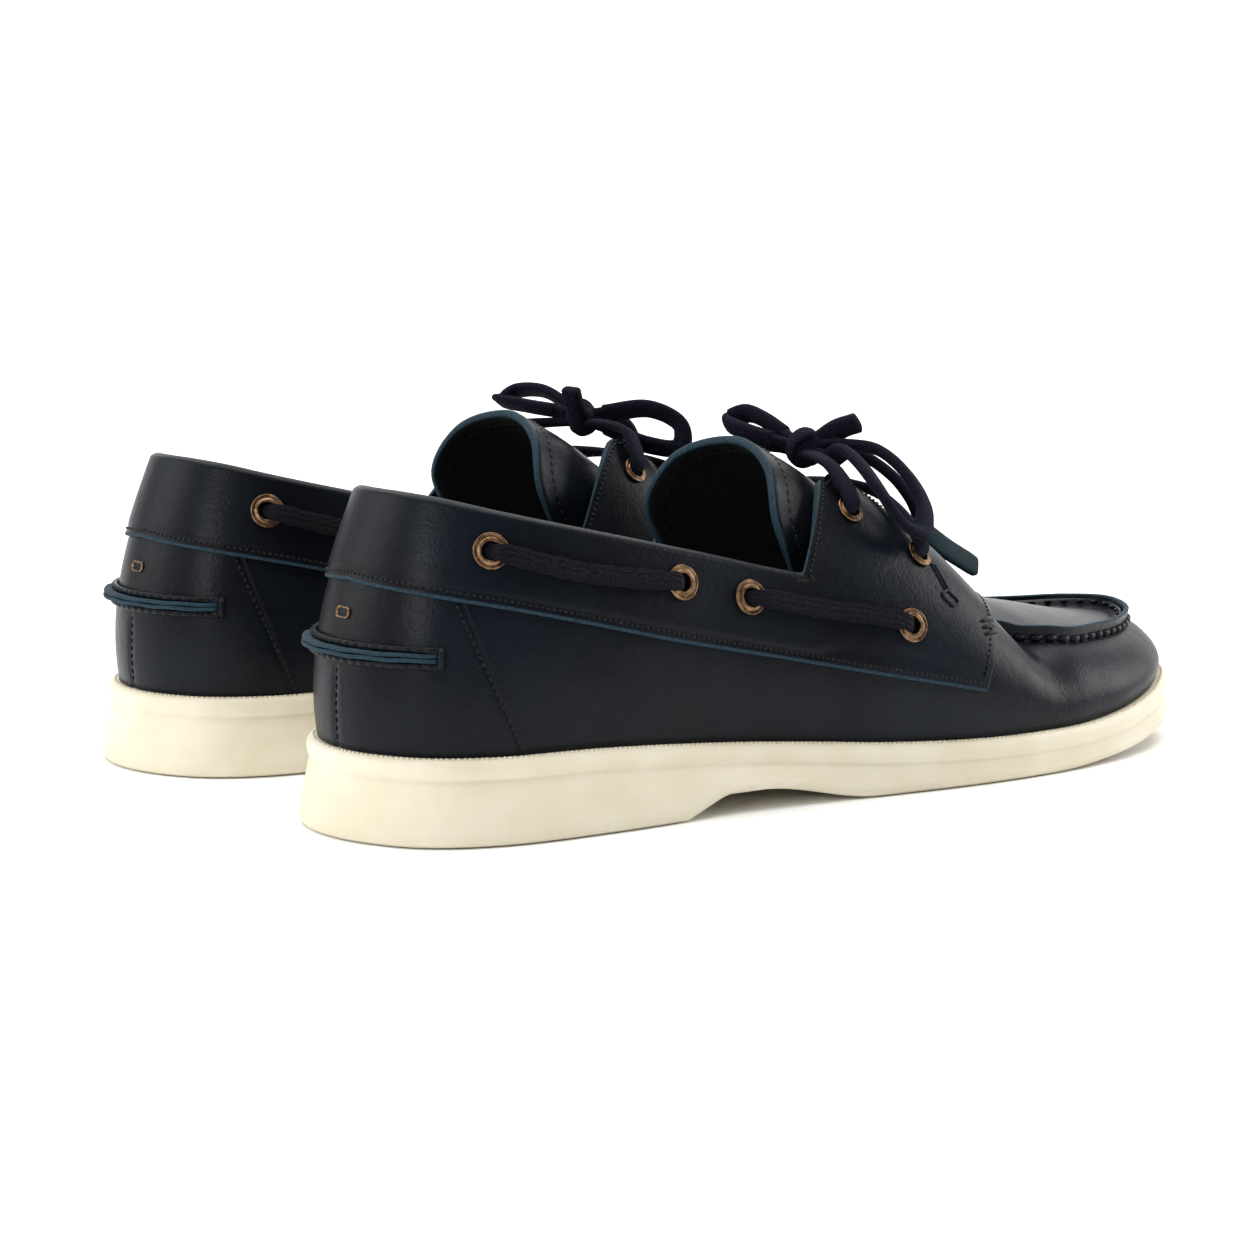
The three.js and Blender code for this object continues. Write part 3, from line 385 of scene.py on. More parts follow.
def leather_mesh(outer, inner, bulge=0.35, raw=()):
    """Closed leather piece between two grids [column, row] of points.

    The cut edge is rounded and stands out by bulge. raw names the sides whose edge shows
    raw leather: first and last column, bottom and top row. Returns points, faces, looks."""
    columns, rows = outer.shape[:2]
    border = [(i, 0, "bottom") for i in range(columns - 1)]
    border += [(columns - 1, k, "last") for k in range(rows - 1)]
    border += [(i, rows - 1, "top") for i in range(columns - 1, 0, -1)]
    border += [(0, k, "first") for k in range(rows - 1, 0, -1)]
    bulges = bulge if isinstance(bulge, dict) else dict.fromkeys(("bottom", "last", "top", "first"),
                                                                 bulge)
    count = columns * rows
    points = [outer.reshape(-1, 3), inner.reshape(-1, 3)]
    faces = grid_faces(columns, rows)
    faces += [tuple(reversed(face)) for face in grid_faces(columns, rows, count)]
    looks = [0] * len(faces)
    ij = np.array([(i, k) for i, k, _ in border])
    o, n = outer[ij[:, 0], ij[:, 1]], inner[ij[:, 0], ij[:, 1]]
    inside = np.clip(ij, [1, 1], [columns - 2, rows - 2])
    out = unit(o - outer[inside[:, 0], inside[:, 1]])
    size = np.array([bulges[side] for _, _, side in border])[:, None]
    turns = [0.0, *EDGE_TURNS, 1.0]
    for turn in EDGE_TURNS:
        angle = math.pi * turn
        points.append((o + n) / 2 + (o - n) / 2 * math.cos(angle) + out * size * math.sin(angle))
    ring = len(border)

    def corner(step, b):
        i, k, _ = border[b]
        if step == 0:
            return i * rows + k
        if step == len(turns) - 1:
            return count + i * rows + k
        return 2 * count + (step - 1) * ring + b

    for b in range(ring):
        c = (b + 1) % ring
        for step in range(len(turns) - 1):
            faces.append((corner(step, c), corner(step, b),
                          corner(step + 1, b), corner(step + 1, c)))
            looks.append(1 if border[b][2] in raw else 0)
    return np.vstack(points), faces, looks


def sweep(points, facings, widths, thicknesses, sides=16, squareness=2.6, cap=0.6):
    """Closed flat cord with rounded edges and ends. Returns points, faces and its run in mm."""
    points, facings = np.asarray(points, float), np.asarray(facings, float)
    widths = np.broadcast_to(widths, len(points)).astype(float)
    thicknesses = np.broadcast_to(thicknesses, len(points)).astype(float)
    tangent = unit(np.gradient(points, axis=0))
    flat = unit(facings - tangent * (facings * tangent).sum(-1, keepdims=True))
    across = np.cross(tangent, flat)
    run = distances(points)
    rings = [(i, 1.0, 0.0) for i in range(len(points))]
    ends = [(math.sin(a), math.cos(a)) for a in (0.45, 0.95, 1.35)]
    reach = thicknesses[0] * cap
    rings = ([(0, c, -s * reach) for s, c in reversed(ends)] + rings
             + [(len(points) - 1, c, s * reach) for s, c in ends])
    angle = circle(sides)
    wide = np.sign(np.cos(angle)) * np.abs(np.cos(angle)) ** (2 / squareness)
    high = np.sign(np.sin(angle)) * np.abs(np.sin(angle)) ** (2 / squareness)
    made, uv = [], []
    for i, scale, shift in rings:
        centre = points[i] + tangent[i] * shift
        made.append(centre + across[i] * (wide * widths[i] / 2 * scale)[:, None]
                    + flat[i] * (high * thicknesses[i] / 2 * scale)[:, None])
        uv.append(np.stack([angle / (2 * math.pi) * (widths[i] + thicknesses[i]) * 2,
                            np.full(sides, run[i] + shift)], -1))
    return np.vstack(made), tube_faces(len(rings), sides), np.vstack(uv)


def gathered(parts):
    """Several meshes (points, faces) as one."""
    points, faces, start = [], [], 0
    for some_points, some_faces in parts:
        points.append(some_points)
        faces += [tuple(start + v for v in face) for face in some_faces]
        start += len(some_points)
    return np.vstack(points), faces


# Rings of one stitch: [place along it, share of its width, dip as a share of its height].
BEAD_STEPS = ((-0.5, 0.25, -0.55), (-0.4, 0.8, -0.22), (-0.2, 1.0, 0.0),
              (0.2, 1.0, 0.0), (0.4, 0.8, -0.22), (0.5, 0.25, -0.55))


def bead(centre, along, up, length, width, height, sides=8):
    """One stitch: a short rounded bar that lies along a seam and dips in at both ends."""
    across = np.cross(along, up)
    angle = circle(sides)
    made = []
    for place, scale, dip in BEAD_STEPS:
        middle = centre + along * (place * length) + up * (dip * height)
        made.append(middle + across * (np.cos(angle) * width / 2 * scale)[:, None]
                    + up * (np.sin(angle) * height / 2 * scale)[:, None])
    return np.vstack(made), tube_faces(len(BEAD_STEPS), sides)


def stitches(line, normals, pitch, length, width, height, lean=0.0):
    """Stitches along a seam line; lean turns each one a little across the line."""
    both = evenly(np.hstack([line, normals * pitch * 0.001]), 2000)
    run = distances(both[:, :3])
    count = max(int(run[-1] / pitch), 1)
    parts = []
    for place in (np.arange(count) + 0.5) * run[-1] / count:
        i = min(int(np.searchsorted(run, place)), len(both) - 2)
        up = unit(both[i, 3:])
        along = unit(both[i + 1, :3] - both[i - 1, :3])
        along = unit(along - up * (along @ up))
        along = unit(along + np.cross(along, up) * lean)
        parts.append(bead(both[i, :3], along, up, length, width, height))
    return gathered(parts)


def stitches_on(q, share, level, *sizes):
    """Stitches along a line on the last; sizes are pitch, length, width, height and lean."""
    return stitches(on_last(q, share, level), last_normal(q, share), *sizes)


def ridge_on(q, share, level, width, height, sides=8):
    """Raised ridge along a line on the last."""
    return sweep(on_last(q, share, level), last_normal(q, share), width, height, sides)[:2]


def lathe(profile, sides=48):
    """Ring turned from [radius, height] pairs round its own +Z axis, closed on itself."""
    profile = np.asarray(profile, float)
    angle = circle(sides)
    made = np.stack([np.outer(np.cos(angle), profile[:, 0]), np.outer(np.sin(angle), profile[:, 0]),
                     np.tile(profile[:, 1], (sides, 1))], -1).reshape(-1, 3)
    count = len(profile)
    faces = [(i * count + k, (i + 1) % sides * count + k,
              (i + 1) % sides * count + (k + 1) % count, i * count + (k + 1) % count)
             for i in range(sides) for k in range(count)]
    return made, faces


def seat_on(points, q, share, level):
    """Moves a shape whose +Z stands up onto the surface; its +Y then points up the slope."""
    up = last_normal(q, share)
    slope = unit(last_point(q, share + 0.02) - last_point(q, share - 0.02))
    slope = unit(slope - up * (slope @ up))
    side = np.cross(slope, up)
    return (on_last(q, share, level) + points[:, :1] * side + points[:, 1:2] * slope
            + points[:, 2:3] * up)


# ---- materials -------------------------------------------------------------------------------
def linear(code):
    """sRGB hex to the linear colour that shaders use."""
    channels = [int(code[i:i + 2], 16) / 255 for i in (1, 3, 5)]
    return (*[c / 12.92 if c <= 0.04045 else ((c + 0.055) / 1.055) ** 2.4 for c in channels], 1.0)


def node(tree, kind, inputs=(), **settings):
    """Adds a node; inputs are [socket, value or another node's output], settings its own."""
    made = tree.nodes.new(kind)
    for name, value in settings.items():
        setattr(made, name, value)
    for name, value in inputs:
        if isinstance(value, bpy.types.NodeSocket):
            tree.links.new(value, made.inputs[name])
        else:
            made.inputs[name].default_value = value
    return made


def per_mm(size):
    """Pattern scale for a feature of that size, as the pieces are in metres."""
    return 1.0 / (size * MM)


def new_material(name, color, roughness, **constants):
    """A material with its shader; constants are set on the shader's own sockets."""
    made = bpy.data.materials.new(name)
    made.use_nodes = True
    tree = made.node_tree
    shader = next(n for n in tree.nodes if n.type == "BSDF_PRINCIPLED")
    shader.inputs["Base Color"].default_value = linear(color)
    shader.inputs["Roughness"].default_value = roughness
    for socket, value in constants.items():
        shader.inputs[socket.replace("_", " ")].default_value = value
    made.diffuse_color = linear(color)
    return made, tree, shader


def two_tone(tree, shader, factor, first, second, low=0.35, high=0.65):
    """Colour that wanders between two tones."""
    spread = node(tree, "ShaderNodeMapRange",
                  [["Value", factor], ["From Min", low], ["From Max", high]])
    mixed = node(tree, "ShaderNodeMix", [["Factor", spread.outputs["Result"]], ["A", linear(first)],
                                         ["B", linear(second)]], data_type="RGBA")
    tree.links.new(mixed.outputs["Result"], shader.inputs["Base Color"])


def vary_roughness(tree, shader, factor, low, high):
    """Roughness that follows a pattern."""
    spread = node(tree, "ShaderNodeMapRange",
                  [["Value", factor], ["To Min", low], ["To Max", high]])
    tree.links.new(spread.outputs["Result"], shader.inputs["Roughness"])


def relief(tree, shader, layers):
    """Stacked bumps, each [height output, strength, depth in mm]."""
    normal = None
    for height, strength, depth in layers:
        inputs = [["Height", height], ["Strength", strength], ["Distance", depth * MM]]
        if normal is not None:
            inputs.append(["Normal", normal])
        normal = node(tree, "ShaderNodeBump", inputs).outputs["Normal"]
    tree.links.new(normal, shader.inputs["Normal"])


def waxed_leather(name, dark, light, rough, crease_depth, shine=0.14):
    """Pull-up leather: waxed full grain, drum dyed. The wax gives broad satin highlights, and
    handling leaves soft creases and slightly paler patches."""
    made, tree, shader = new_material(name, dark, rough[0], IOR=1.47, Specular_IOR_Level=shine)
    place = node(tree, "ShaderNodeTexCoord").outputs["Object"]
    patches = node(tree, "ShaderNodeTexNoise",
                   [["Vector", place], ["Scale", per_mm(38)], ["Detail", 2.0]])
    creases = node(tree, "ShaderNodeTexNoise", [["Vector", place], ["Scale", per_mm(4.2)],
                                                ["Detail", 4.0], ["Distortion", 1.1]])
    pores = node(tree, "ShaderNodeTexVoronoi", [["Vector", place], ["Scale", per_mm(0.9)]])
    swells = node(tree, "ShaderNodeTexNoise", [["Vector", place], ["Scale", per_mm(14)],
                                               ["Detail", 2.0], ["Distortion", 0.6]])
    two_tone(tree, shader, patches.outputs["Fac"], dark, light)
    vary_roughness(tree, shader, creases.outputs["Fac"], *rough)
    relief(tree, shader, [[swells.outputs["Fac"], 0.25, 0.7],
                          [creases.outputs["Fac"], 0.5, crease_depth],
                          [pores.outputs["Distance"], 0.45, 0.1]])
    return made


def grained(name, color, roughness, pattern, tones, bump, spread=None, **constants):
    """A material whose colour and relief follow one fine pattern, and its roughness with spread.

    pattern is [node kind, output, size in mm, detail], tones are dark, light and the part of
    the pattern between them, and bump is [strength, depth in mm]."""
    made, tree, shader = new_material(name, color, roughness, **constants)
    kind, output, size, detail = pattern
    place = node(tree, "ShaderNodeTexCoord").outputs["Object"]
    inputs = [["Vector", place], ["Scale", per_mm(size)], ["Detail", detail]]
    grain = node(tree, kind, inputs).outputs[output]
    two_tone(tree, shader, grain, *tones)
    if spread:
        vary_roughness(tree, shader, grain, *spread)
    relief(tree, shader, [[grain, *bump]])
    return made


def napped_lace(name, dark, light, fibre):
    """Oiled rawhide lace with its nap side out: fine pale fibres stand up from a dark ground."""
    made, tree, shader = new_material(name, dark, 0.92, Sheen_Weight=0.06, Sheen_Roughness=0.5,
                                      Sheen_Tint=linear("#8f95b0"), Specular_IOR_Level=0.1)
    run = node(tree, "ShaderNodeTexCoord").outputs["UV"]
    stretched = node(tree, "ShaderNodeMapping", [["Vector", run], ["Scale", (1.6, 0.45, 1.0)]])
    fibres = node(tree, "ShaderNodeTexNoise",
                  [["Vector", stretched.outputs["Vector"]], ["Scale", 2.2], ["Detail", 5.0],
                   ["Distortion", 0.4]])
    ribs = node(tree, "ShaderNodeTexWave", [["Vector", run], ["Scale", 0.314 / fibre],
                                            ["Distortion", 1.5], ["Detail", 2.0]])
    two_tone(tree, shader, fibres.outputs["Fac"], dark, light, 0.42, 0.75)
    relief(tree, shader, [[ribs.outputs["Fac"], 0.7, 0.35], [fibres.outputs["Fac"], 0.9, 0.35]])
    return made


def crepe_rubber():
    """Pressed cream rubber: matt, evenly coloured, with a little mottling from the mould."""
    made, tree, shader = new_material("cream_rubber", "#e2d9c2", 0.56, Subsurface_Weight=0.06,
                                      Subsurface_Radius=(0.004, 0.003, 0.002))
    place = node(tree, "ShaderNodeTexCoord").outputs["Object"]
    mottle = node(tree, "ShaderNodeTexNoise",
                  [["Vector", place], ["Scale", per_mm(16)], ["Detail", 3.0]])
    skin = node(tree, "ShaderNodeTexNoise",
                [["Vector", place], ["Scale", per_mm(0.8)], ["Detail", 2.0]])
    two_tone(tree, shader, mottle.outputs["Fac"], "#ddd3ba", "#e4dcc7")
    vary_roughness(tree, shader, mottle.outputs["Fac"], 0.48, 0.62)
    relief(tree, shader, [[skin.outputs["Fac"], 0.25, 0.05]])
    return made


LEATHER = waxed_leather("navy_pull_up_leather", "#0a0d12", "#11161e", (0.3, 0.44), 0.18)
# The apron is the same leather; its paler colour is painted light from above, and it also shines
# more.
APRON_LEATHER_PAINTED_LIGHT = waxed_leather("navy_apron_leather_painted_light", "#12151b", "#191d25", (0.34, 0.46), 0.16,
                              0.32)
# The tip of the lace is the same leather, dyed teal and dull from handling.
TIP_LEATHER = waxed_leather("teal_tip_leather", "#0a1b22", "#102932", (0.6, 0.72), 0.2)
# Raw cut edge of struck-through leather, dyed teal and left unwaxed: matt and fibrous.
RAW_EDGE = grained("teal_raw_edge", "#1c3645", 0.75, ["ShaderNodeTexNoise", "Fac", 0.7, 4.0],
                   ["#10212a", "#22404f", 0.3, 0.75], [0.8, 0.25], Specular_IOR_Level=0.25)
# Sheepskin lining, dyed black and lightly glazed.
LINING = grained("black_sheepskin", "#0b0c0f", 0.6, ["ShaderNodeTexNoise", "Fac", 1.6, 3.0],
                 ["#08090b", "#121418"], [0.4, 0.1])
SIDE_LACE = napped_lace("rawhide_side_lace", "#0b0a0e", "#201f25", 0.9)
BOW_LACE = napped_lace("rawhide_bow_lace", "#0c0d15", "#22243a", 0.7)
RUBBER = crepe_rubber()
# Pressed brass with an antique finish: brown in the hollows, rubbed bright on the rims.
BRASS = grained("antique_brass", "#7c624a", 0.34, ["ShaderNodeTexNoise", "Fac", 1.8, 4.0],
                ["#57422c", "#94765a"], [0.3, 0.05], (0.28, 0.5), Metallic=1.0)
# Waxed polyester thread, almost black, twisted; its pale tan specks are painted highlights.
THREAD_WITH_PAINTED_GLINTS = grained("waxed_thread_with_painted_glints", "#08090c", 0.5, ["ShaderNodeTexNoise", "Fac", 0.5, 2.0],
                 ["#08080a", "#3a352f", 0.55, 0.75], [0.5, 0.12], Specular_IOR_Level=0.2)
# Tan cellular foam of the footbed.
FOAM = grained("tan_foam", "#8d7a60", 0.92, ["ShaderNodeTexVoronoi", "Distance", 1.2, 0.0],
               ["#7b694f", "#9c8a6f", 0.1, 0.6], [0.5, 0.2])


# ---- leather pieces --------------------------------------------------------------------------
def band_share(q):
    """Share of the height at the collar's lower edge."""
    return share_at(q, along_side(BAND_SEAM, q))


def lap_share(q):
    """Share of the height up to which the vamp runs under the collar."""
    return share_at(q, along_side(BAND_SEAM, q) + COLLAR_LAP)


def set_forward(q, side):
    """The medial eyestay stands a little further forward than the lateral one."""
    q = np.asarray(q, float)
    if side > 0:
        return q
    return q + MEDIAL_SET * smoothstep(q, 0.36, FLAP_FOOT) * (1 - smoothstep(q, 0.6, THROAT_FOOT))


def eyelets_of(side):
    """The eyelets of one side, at their own stations."""
    return [[name, float(set_forward(q, side)), share, size] for name, q, share, size in EYELETS]


def seam_rise(q):
    """Height of the standing edge of the moc seam."""
    return SEAM_RISE * smoothstep(np.abs(wrap(q)), THROAT_FOOT + 0.004, 0.775)


def vamp_top_share(q):
    """Upper end of the vamp: under the collar at the sides, at the moc seam in front."""
    station = np.abs(wrap(q))
    covered = 0.93
    front = covered + (1 - covered) * smoothstep(station, THROAT_FOOT, 0.775)
    back = lap_share(station)
    back = back + (covered - back) * smoothstep(station, 0.655, 0.72)
    return np.where(station >= 0.72, front, back)


def seam_run():
    """Stations of the moc seam and the distance along it, in millimetres."""
    q = np.linspace(0.765, 2 - 0.765, 400)
    return q, distances(last_point(q, 1.0))


SEAM_STATIONS, SEAM_DISTANCE = seam_run()


def puckers(q, down):
    """Small gathers below the moc seam, one for each stitch; down is the distance below it."""
    run = np.interp(np.mod(q, 2.0), SEAM_STATIONS, SEAM_DISTANCE)
    reach = smoothstep(np.abs(wrap(q)), 0.765, 0.80)
    uneven = 0.75 + 0.25 * np.sin(run * 0.31) * np.cos(run * 0.17)
    gathers = 0.5 + 0.5 * np.cos(2 * math.pi * run / MOC_STITCH)
    return -0.32 * reach * uneven * gathers * np.exp(-down / 3.4)


VAMP_COLUMNS, VAMP_ROWS, WALL_ROWS = 321, 26, 6


def make_vamp(foot):
    """Lower wall of the shoe, whose standing edge at the toe is the wall of the moc seam."""
    u = np.linspace(-1, 1, VAMP_COLUMNS)
    u = np.sign(u) * np.abs(u) ** 1.15
    low, high = 1 + u * (1 - HEEL_SEAM_BOTTOM), 1 + u * (1 - HEEL_SEAM_TOP)
    v = np.linspace(0, 1, VAMP_ROWS)
    q = low[:, None] + (high - low)[:, None] * v
    share = v * vamp_top_share(high)[:, None]
    top = last_point(q[:, -1:], share[:, -1:])
    down = np.linalg.norm(last_point(q, share) - top, axis=-1)
    level = puckers(q, down)
    # Folds of the wear in front of the collar's foot.
    folds = np.sin(down * 0.55 + 3 * np.sin(q * 40))
    folds = folds * np.exp(-((np.abs(wrap(q)) - 0.755) / 0.03) ** 2)
    level = level + 0.22 * folds * smoothstep(down, 2, 9) * (1 - smoothstep(down, 20, 30))
    near = smoothstep(v, 0.9, 1.0)[None, :, None]
    raised = (seam_rise(high) > 0)[:, None, None]

    def side_of(offset):
        shaped = on_last(q, share, level + offset)
        edge = last_point(q, share) + plan_normal(q) * (level + offset)[..., None]
        shaped = np.where(raised, shaped * (1 - near) + edge * near, shaped)
        wall = np.repeat(shaped[:, -1:], WALL_ROWS, axis=1)
        rise = np.linspace(0, 1, WALL_ROWS + 1)[1:]
        wall[..., 2] += np.maximum(seam_rise(high), 0.05)[:, None] * rise
        lean = 0.5 * seam_rise(high)[:, None] / SEAM_RISE * rise**2
        wall = wall + plan_normal(high)[:, None, :] * lean[..., None]
        return np.concatenate([shaped, wall], axis=1)

    outer, inner = side_of(0.0), side_of(-VAMP_THICKNESS)
    bulges = {"bottom": 0.1, "last": 0.1, "top": 0.45, "first": 0.1}
    points, faces, looks = leather_mesh(outer, inner, bulges, raw=("top",))
    vamp = make_mesh(foot, "vamp_leather", points, faces, [LEATHER, RAW_EDGE], looks)
    finish_piece(vamp, foot, "navy_leather", "vamp")


def make_heel_patch(foot):
    """Leather over the heel seam, with its two slanting edges and the seam in its middle."""
    u = np.linspace(-1, 1, 97)
    reach = 0.004
    low, high = u * (HEEL_SEAM_BOTTOM + reach), u * (HEEL_SEAM_TOP + reach)
    v = np.linspace(0, 1, 30)
    q = low[:, None] + (high - low)[:, None] * v
    share = v * lap_share(high)[:, None]
    groove = -0.5 * np.exp(-(q / 0.0035) ** 2) * (1 - smoothstep(share, 0.22, 0.3))
    side = 1 - np.abs(u)[:, None]
    ridge = (0.3 * np.exp(-((side - 0.012) / 0.01) ** 2)
             - 0.35 * np.exp(-((side - 0.04) / 0.012) ** 2))
    outer = on_last(q, share, PATCH_OUTER + groove + ridge)
    inner = on_last(q, share, -1.0)
    points, faces, looks = leather_mesh(outer, inner, 0.2)
    patch = make_mesh(foot, "heel_patch_leather", points, faces, [LEATHER, RAW_EDGE], looks)
    finish_piece(patch, foot, "navy_leather", "heel_patch")
    seams = []
    for side in (-1, 1):
        v = np.linspace(0.02, 0.99, 60)
        edge = side * (HEEL_SEAM_BOTTOM + (HEEL_SEAM_TOP - HEEL_SEAM_BOTTOM) * v)
        share = v * lap_share(side * HEEL_SEAM_TOP) * 0.9
        q = edge - side * 0.001
        seams.append(stitches_on(q, share, PATCH_OUTER + 0.1, 2.0, 1.55, 0.8, 0.85))
    share = np.linspace(0.02, 0.27, 40)
    seams.append(stitches_on(0 * share, share, PATCH_OUTER - 0.25, 2.1, 1.6, 0.7, 0.7))
    threads = make_mesh(foot, "heel_patch_stitches", *gathered(seams), [THREAD_WITH_PAINTED_GLINTS])
    finish_piece(threads, foot, "navy_leather")


def collar_top_share(q, side):
    """Upper edge of the collar: the topline, then up the flap and on to the throat."""
    place = side * set_forward(q, side)
    sloping = share_at(place, along_side(TOPLINE, q))
    notch = share_at(side * set_forward(FLAP_FOOT, side), along_side(TOPLINE, FLAP_FOOT))
    rise = np.clip((q - FLAP_FOOT) / (FLAP_PEAK - FLAP_FOOT), 0, 1)
    flap = notch + (0.93 - notch) * rise
    crest = 0.93 + 0.07 * smoothstep(q, FLAP_PEAK, THROAT_TOP)
    return np.where(q <= FLAP_FOOT, sloping, np.where(q <= FLAP_PEAK, flap, crest))


def collar_grid(side, q, v):
    """Stations and shares of the collar's columns on one side; v is 0 at the band seam."""
    squeeze = (COLLAR_FOOT - FLAP_FOOT) / (THROAT_FOOT - FLAP_FOOT)
    low = side * np.where(q <= FLAP_FOOT, q, FLAP_FOOT + (q - FLAP_FOOT) * squeeze)
    high, top = side * set_forward(q, side), collar_top_share(q, side)
    bottom = band_share(low)
    v = np.asarray(v, float)
    return low[:, None] + (high - low)[:, None] * v, bottom[:, None] + (top - bottom)[:, None] * v


COLLAR_STATIONS = np.concatenate([
    np.linspace(0, FLAP_FOOT - 0.002, 88, endpoint=False),
    np.linspace(FLAP_FOOT - 0.002, FLAP_PEAK, 22, endpoint=False),
    np.linspace(FLAP_PEAK, THROAT_TOP, 10, endpoint=False),
    np.linspace(THROAT_TOP, THROAT_FOOT, 44)])
COLLAR_ROWS = 34


def make_collar(foot):
    """Upper band with the eyestay flaps, lapped over the vamp."""
    v = np.linspace(0, 1, COLLAR_ROWS)
    grids = {side: collar_grid(side, COLLAR_STATIONS, v) for side in (-1, 1)}
    q = np.concatenate([grids[-1][0][:0:-1], grids[1][0]])
    share = np.concatenate([grids[-1][1][:0:-1], grids[1][1]])
    station = np.concatenate([COLLAR_STATIONS[:0:-1], COLLAR_STATIONS])[:, None]
    flap = smoothstep(station, 0.5, 0.53) * smoothstep(v, 0.35, 0.6)
    roll = smoothstep(v, 0.93, 1.0) ** 2 * (station < FLAP_FOOT)
    pull = -0.3 * np.exp(-((v - 0.07) / 0.035) ** 2)
    outer = on_last(q, share, COLLAR_OUTER + pull - 1.1 * roll)
    inner = on_last(q, share, LAP_STEP - 1.35 * flap - 0.3 * roll)
    bulges = {"bottom": 0.9, "last": 0.7, "top": 0.35, "first": 0.7}
    points, faces, looks = leather_mesh(outer, inner, bulges, raw=("bottom",))
    # The top edge is raw only on the back of the eyestay flap.
    across = outer.shape[0] - 1
    start = 2 * across * (COLLAR_ROWS - 1)
    steps = len(EDGE_TURNS) + 1
    for b in range(across + COLLAR_ROWS - 1, 2 * across + COLLAR_ROWS - 1):
        i = across - (b - across - (COLLAR_ROWS - 1))
        if FLAP_FOOT - 0.004 < station[i, 0] < FLAP_PEAK + 0.012:
            for step in range(steps):
                looks[start + b * steps + step] = 1
    collar = make_mesh(foot, "collar_leather", points, faces, [LEATHER, RAW_EDGE], looks)
    cut_holes(collar, foot)
    finish_piece(collar, foot, "navy_leather", "collar")
    make_collar_stitches(foot)


def cut_holes(collar, foot):
    """Punches the eyelet holes through the collar."""
    drills = []
    for side in (-1, 1):
        for _, q, share, size in eyelets_of(side):
            radius = size["bore"] + 0.6
            drill, faces = lathe([[0.01, -4.5], [radius, -4.5], [radius, 3], [0.01, 3]], 20)
            drills.append((seat_on(drill, side * q, share, 1.0), faces))
    punch = make_mesh(foot, "punch", *gathered(drills), [])
    cut = collar.modifiers.new("holes", "BOOLEAN")
    cut.operation, cut.object, cut.solver = "DIFFERENCE", punch, "EXACT"
    ready = collar.evaluated_get(bpy.context.evaluated_depsgraph_get())
    mesh = bpy.data.meshes.new_from_object(ready)
    collar.modifiers.clear()
    collar.data = mesh
    bpy.data.objects.remove(punch)


def make_collar_stitches(foot):
    """Rows over the band seam, up the front edge and round the flap, and a bar tack."""
    rows = []
    for side in (-1, 1):
        q = np.linspace(0.0, 0.662, 300)
        share = share_at(side * q, along_side(BAND_SEAM, q) + STITCH_MARGIN)
        rows.append(stitches_on(side * q, share, COLLAR_OUTER - 0.1, BAND_STITCH, 1.3, 0.72, 0.8))
        v = np.linspace(0.06, 0.9, 60)
        q, share = collar_grid(side, np.full(1, 0.737), v)
        rows.append(stitches_on(q[0], share[0], COLLAR_OUTER, BAND_STITCH, 1.3, 0.72, 0.8))
        station = np.concatenate([np.full(14, FLAP_FOOT + 0.006),
                                  np.linspace(FLAP_FOOT + 0.006, FLAP_PEAK + 0.008, 30),
                                  np.linspace(FLAP_PEAK + 0.010, 0.70, 40)])
        q, _ = collar_grid(side, station, [1.0])
        q = q[:, 0]
        top = collar_top_share(station, side)
        behind = collar_top_share(station - 0.0065, side)
        share = np.where(station < FLAP_PEAK + 0.008, np.minimum(behind, 0.91), top - 0.03)
        share[:14] = np.linspace(share[14] - 0.03, share[14], 14)
        rows.append(stitches_on(q, share, COLLAR_OUTER + 0.05, BAND_STITCH, 1.3, 0.7, 0.75))
        bar = side * (set_forward(FLAP_FOOT, side) + np.linspace(-0.012, 0.009, 20))
        level = share_at(bar, np.full(20, TOPLINE[-1][1] - 2.2))
        rows.append(stitches_on(bar, level, COLLAR_OUTER + 0.1, 0.7, 1.6, 0.5, 0.45, 1.6))
    threads = make_mesh(foot, "collar_stitches", *gathered(rows), [THREAD_WITH_PAINTED_GLINTS])
    finish_piece(threads, foot, "navy_leather")


def make_lining(foot):
    """Black lining that turns over at the topline, and its two thin pipings."""
    half = np.linspace(0, 0.60, 96)
    v = np.linspace(0, 1, 26)
    qs, shares = [], []
    for side in (-1, 1):
        notch = share_at(side * FLAP_FOOT, along_side(TOPLINE, FLAP_FOOT) - 3)
        top = np.where(half < FLAP_FOOT, share_at(side * half, along_side(TOPLINE, half)),
                       notch + (0.42 - notch) * (half - FLAP_FOOT) / (0.60 - FLAP_FOOT))
        qs.append(np.repeat((side * half)[:, None], len(v), 1))
        shares.append(0.07 + (top - 0.07)[:, None] * v)
    q = np.concatenate([qs[0][:0:-1], qs[1]])
    share = np.concatenate([shares[0][:0:-1], shares[1]])
    turn = 3.0 * smoothstep(v, 0.84, 1.0) * (np.abs(q) < FLAP_FOOT - 0.01)
    outer, inner = on_last(q, share, -2.9 + turn), on_last(q, share, -4.1 + turn)
    points, faces, _ = leather_mesh(outer, inner, 0.3)
    lining = make_mesh(foot, "collar_lining", points, faces, [LINING])
    finish_piece(lining, foot, "black_lining", "lining")
    piping = []
    stations = np.linspace(-FLAP_FOOT + 0.004, FLAP_FOOT - 0.004, 260)
    for drop, level in ((1.0, -0.9), (4.2, -2.6)):
        share = share_at(stations, along_side(TOPLINE, stations) - drop)
        piping.append(ridge_on(stations, share, level, 1.3, 1.3))
    cord = make_mesh(foot, "topline_piping", *gathered(piping), [LEATHER])
    finish_piece(cord, foot, "navy_leather")


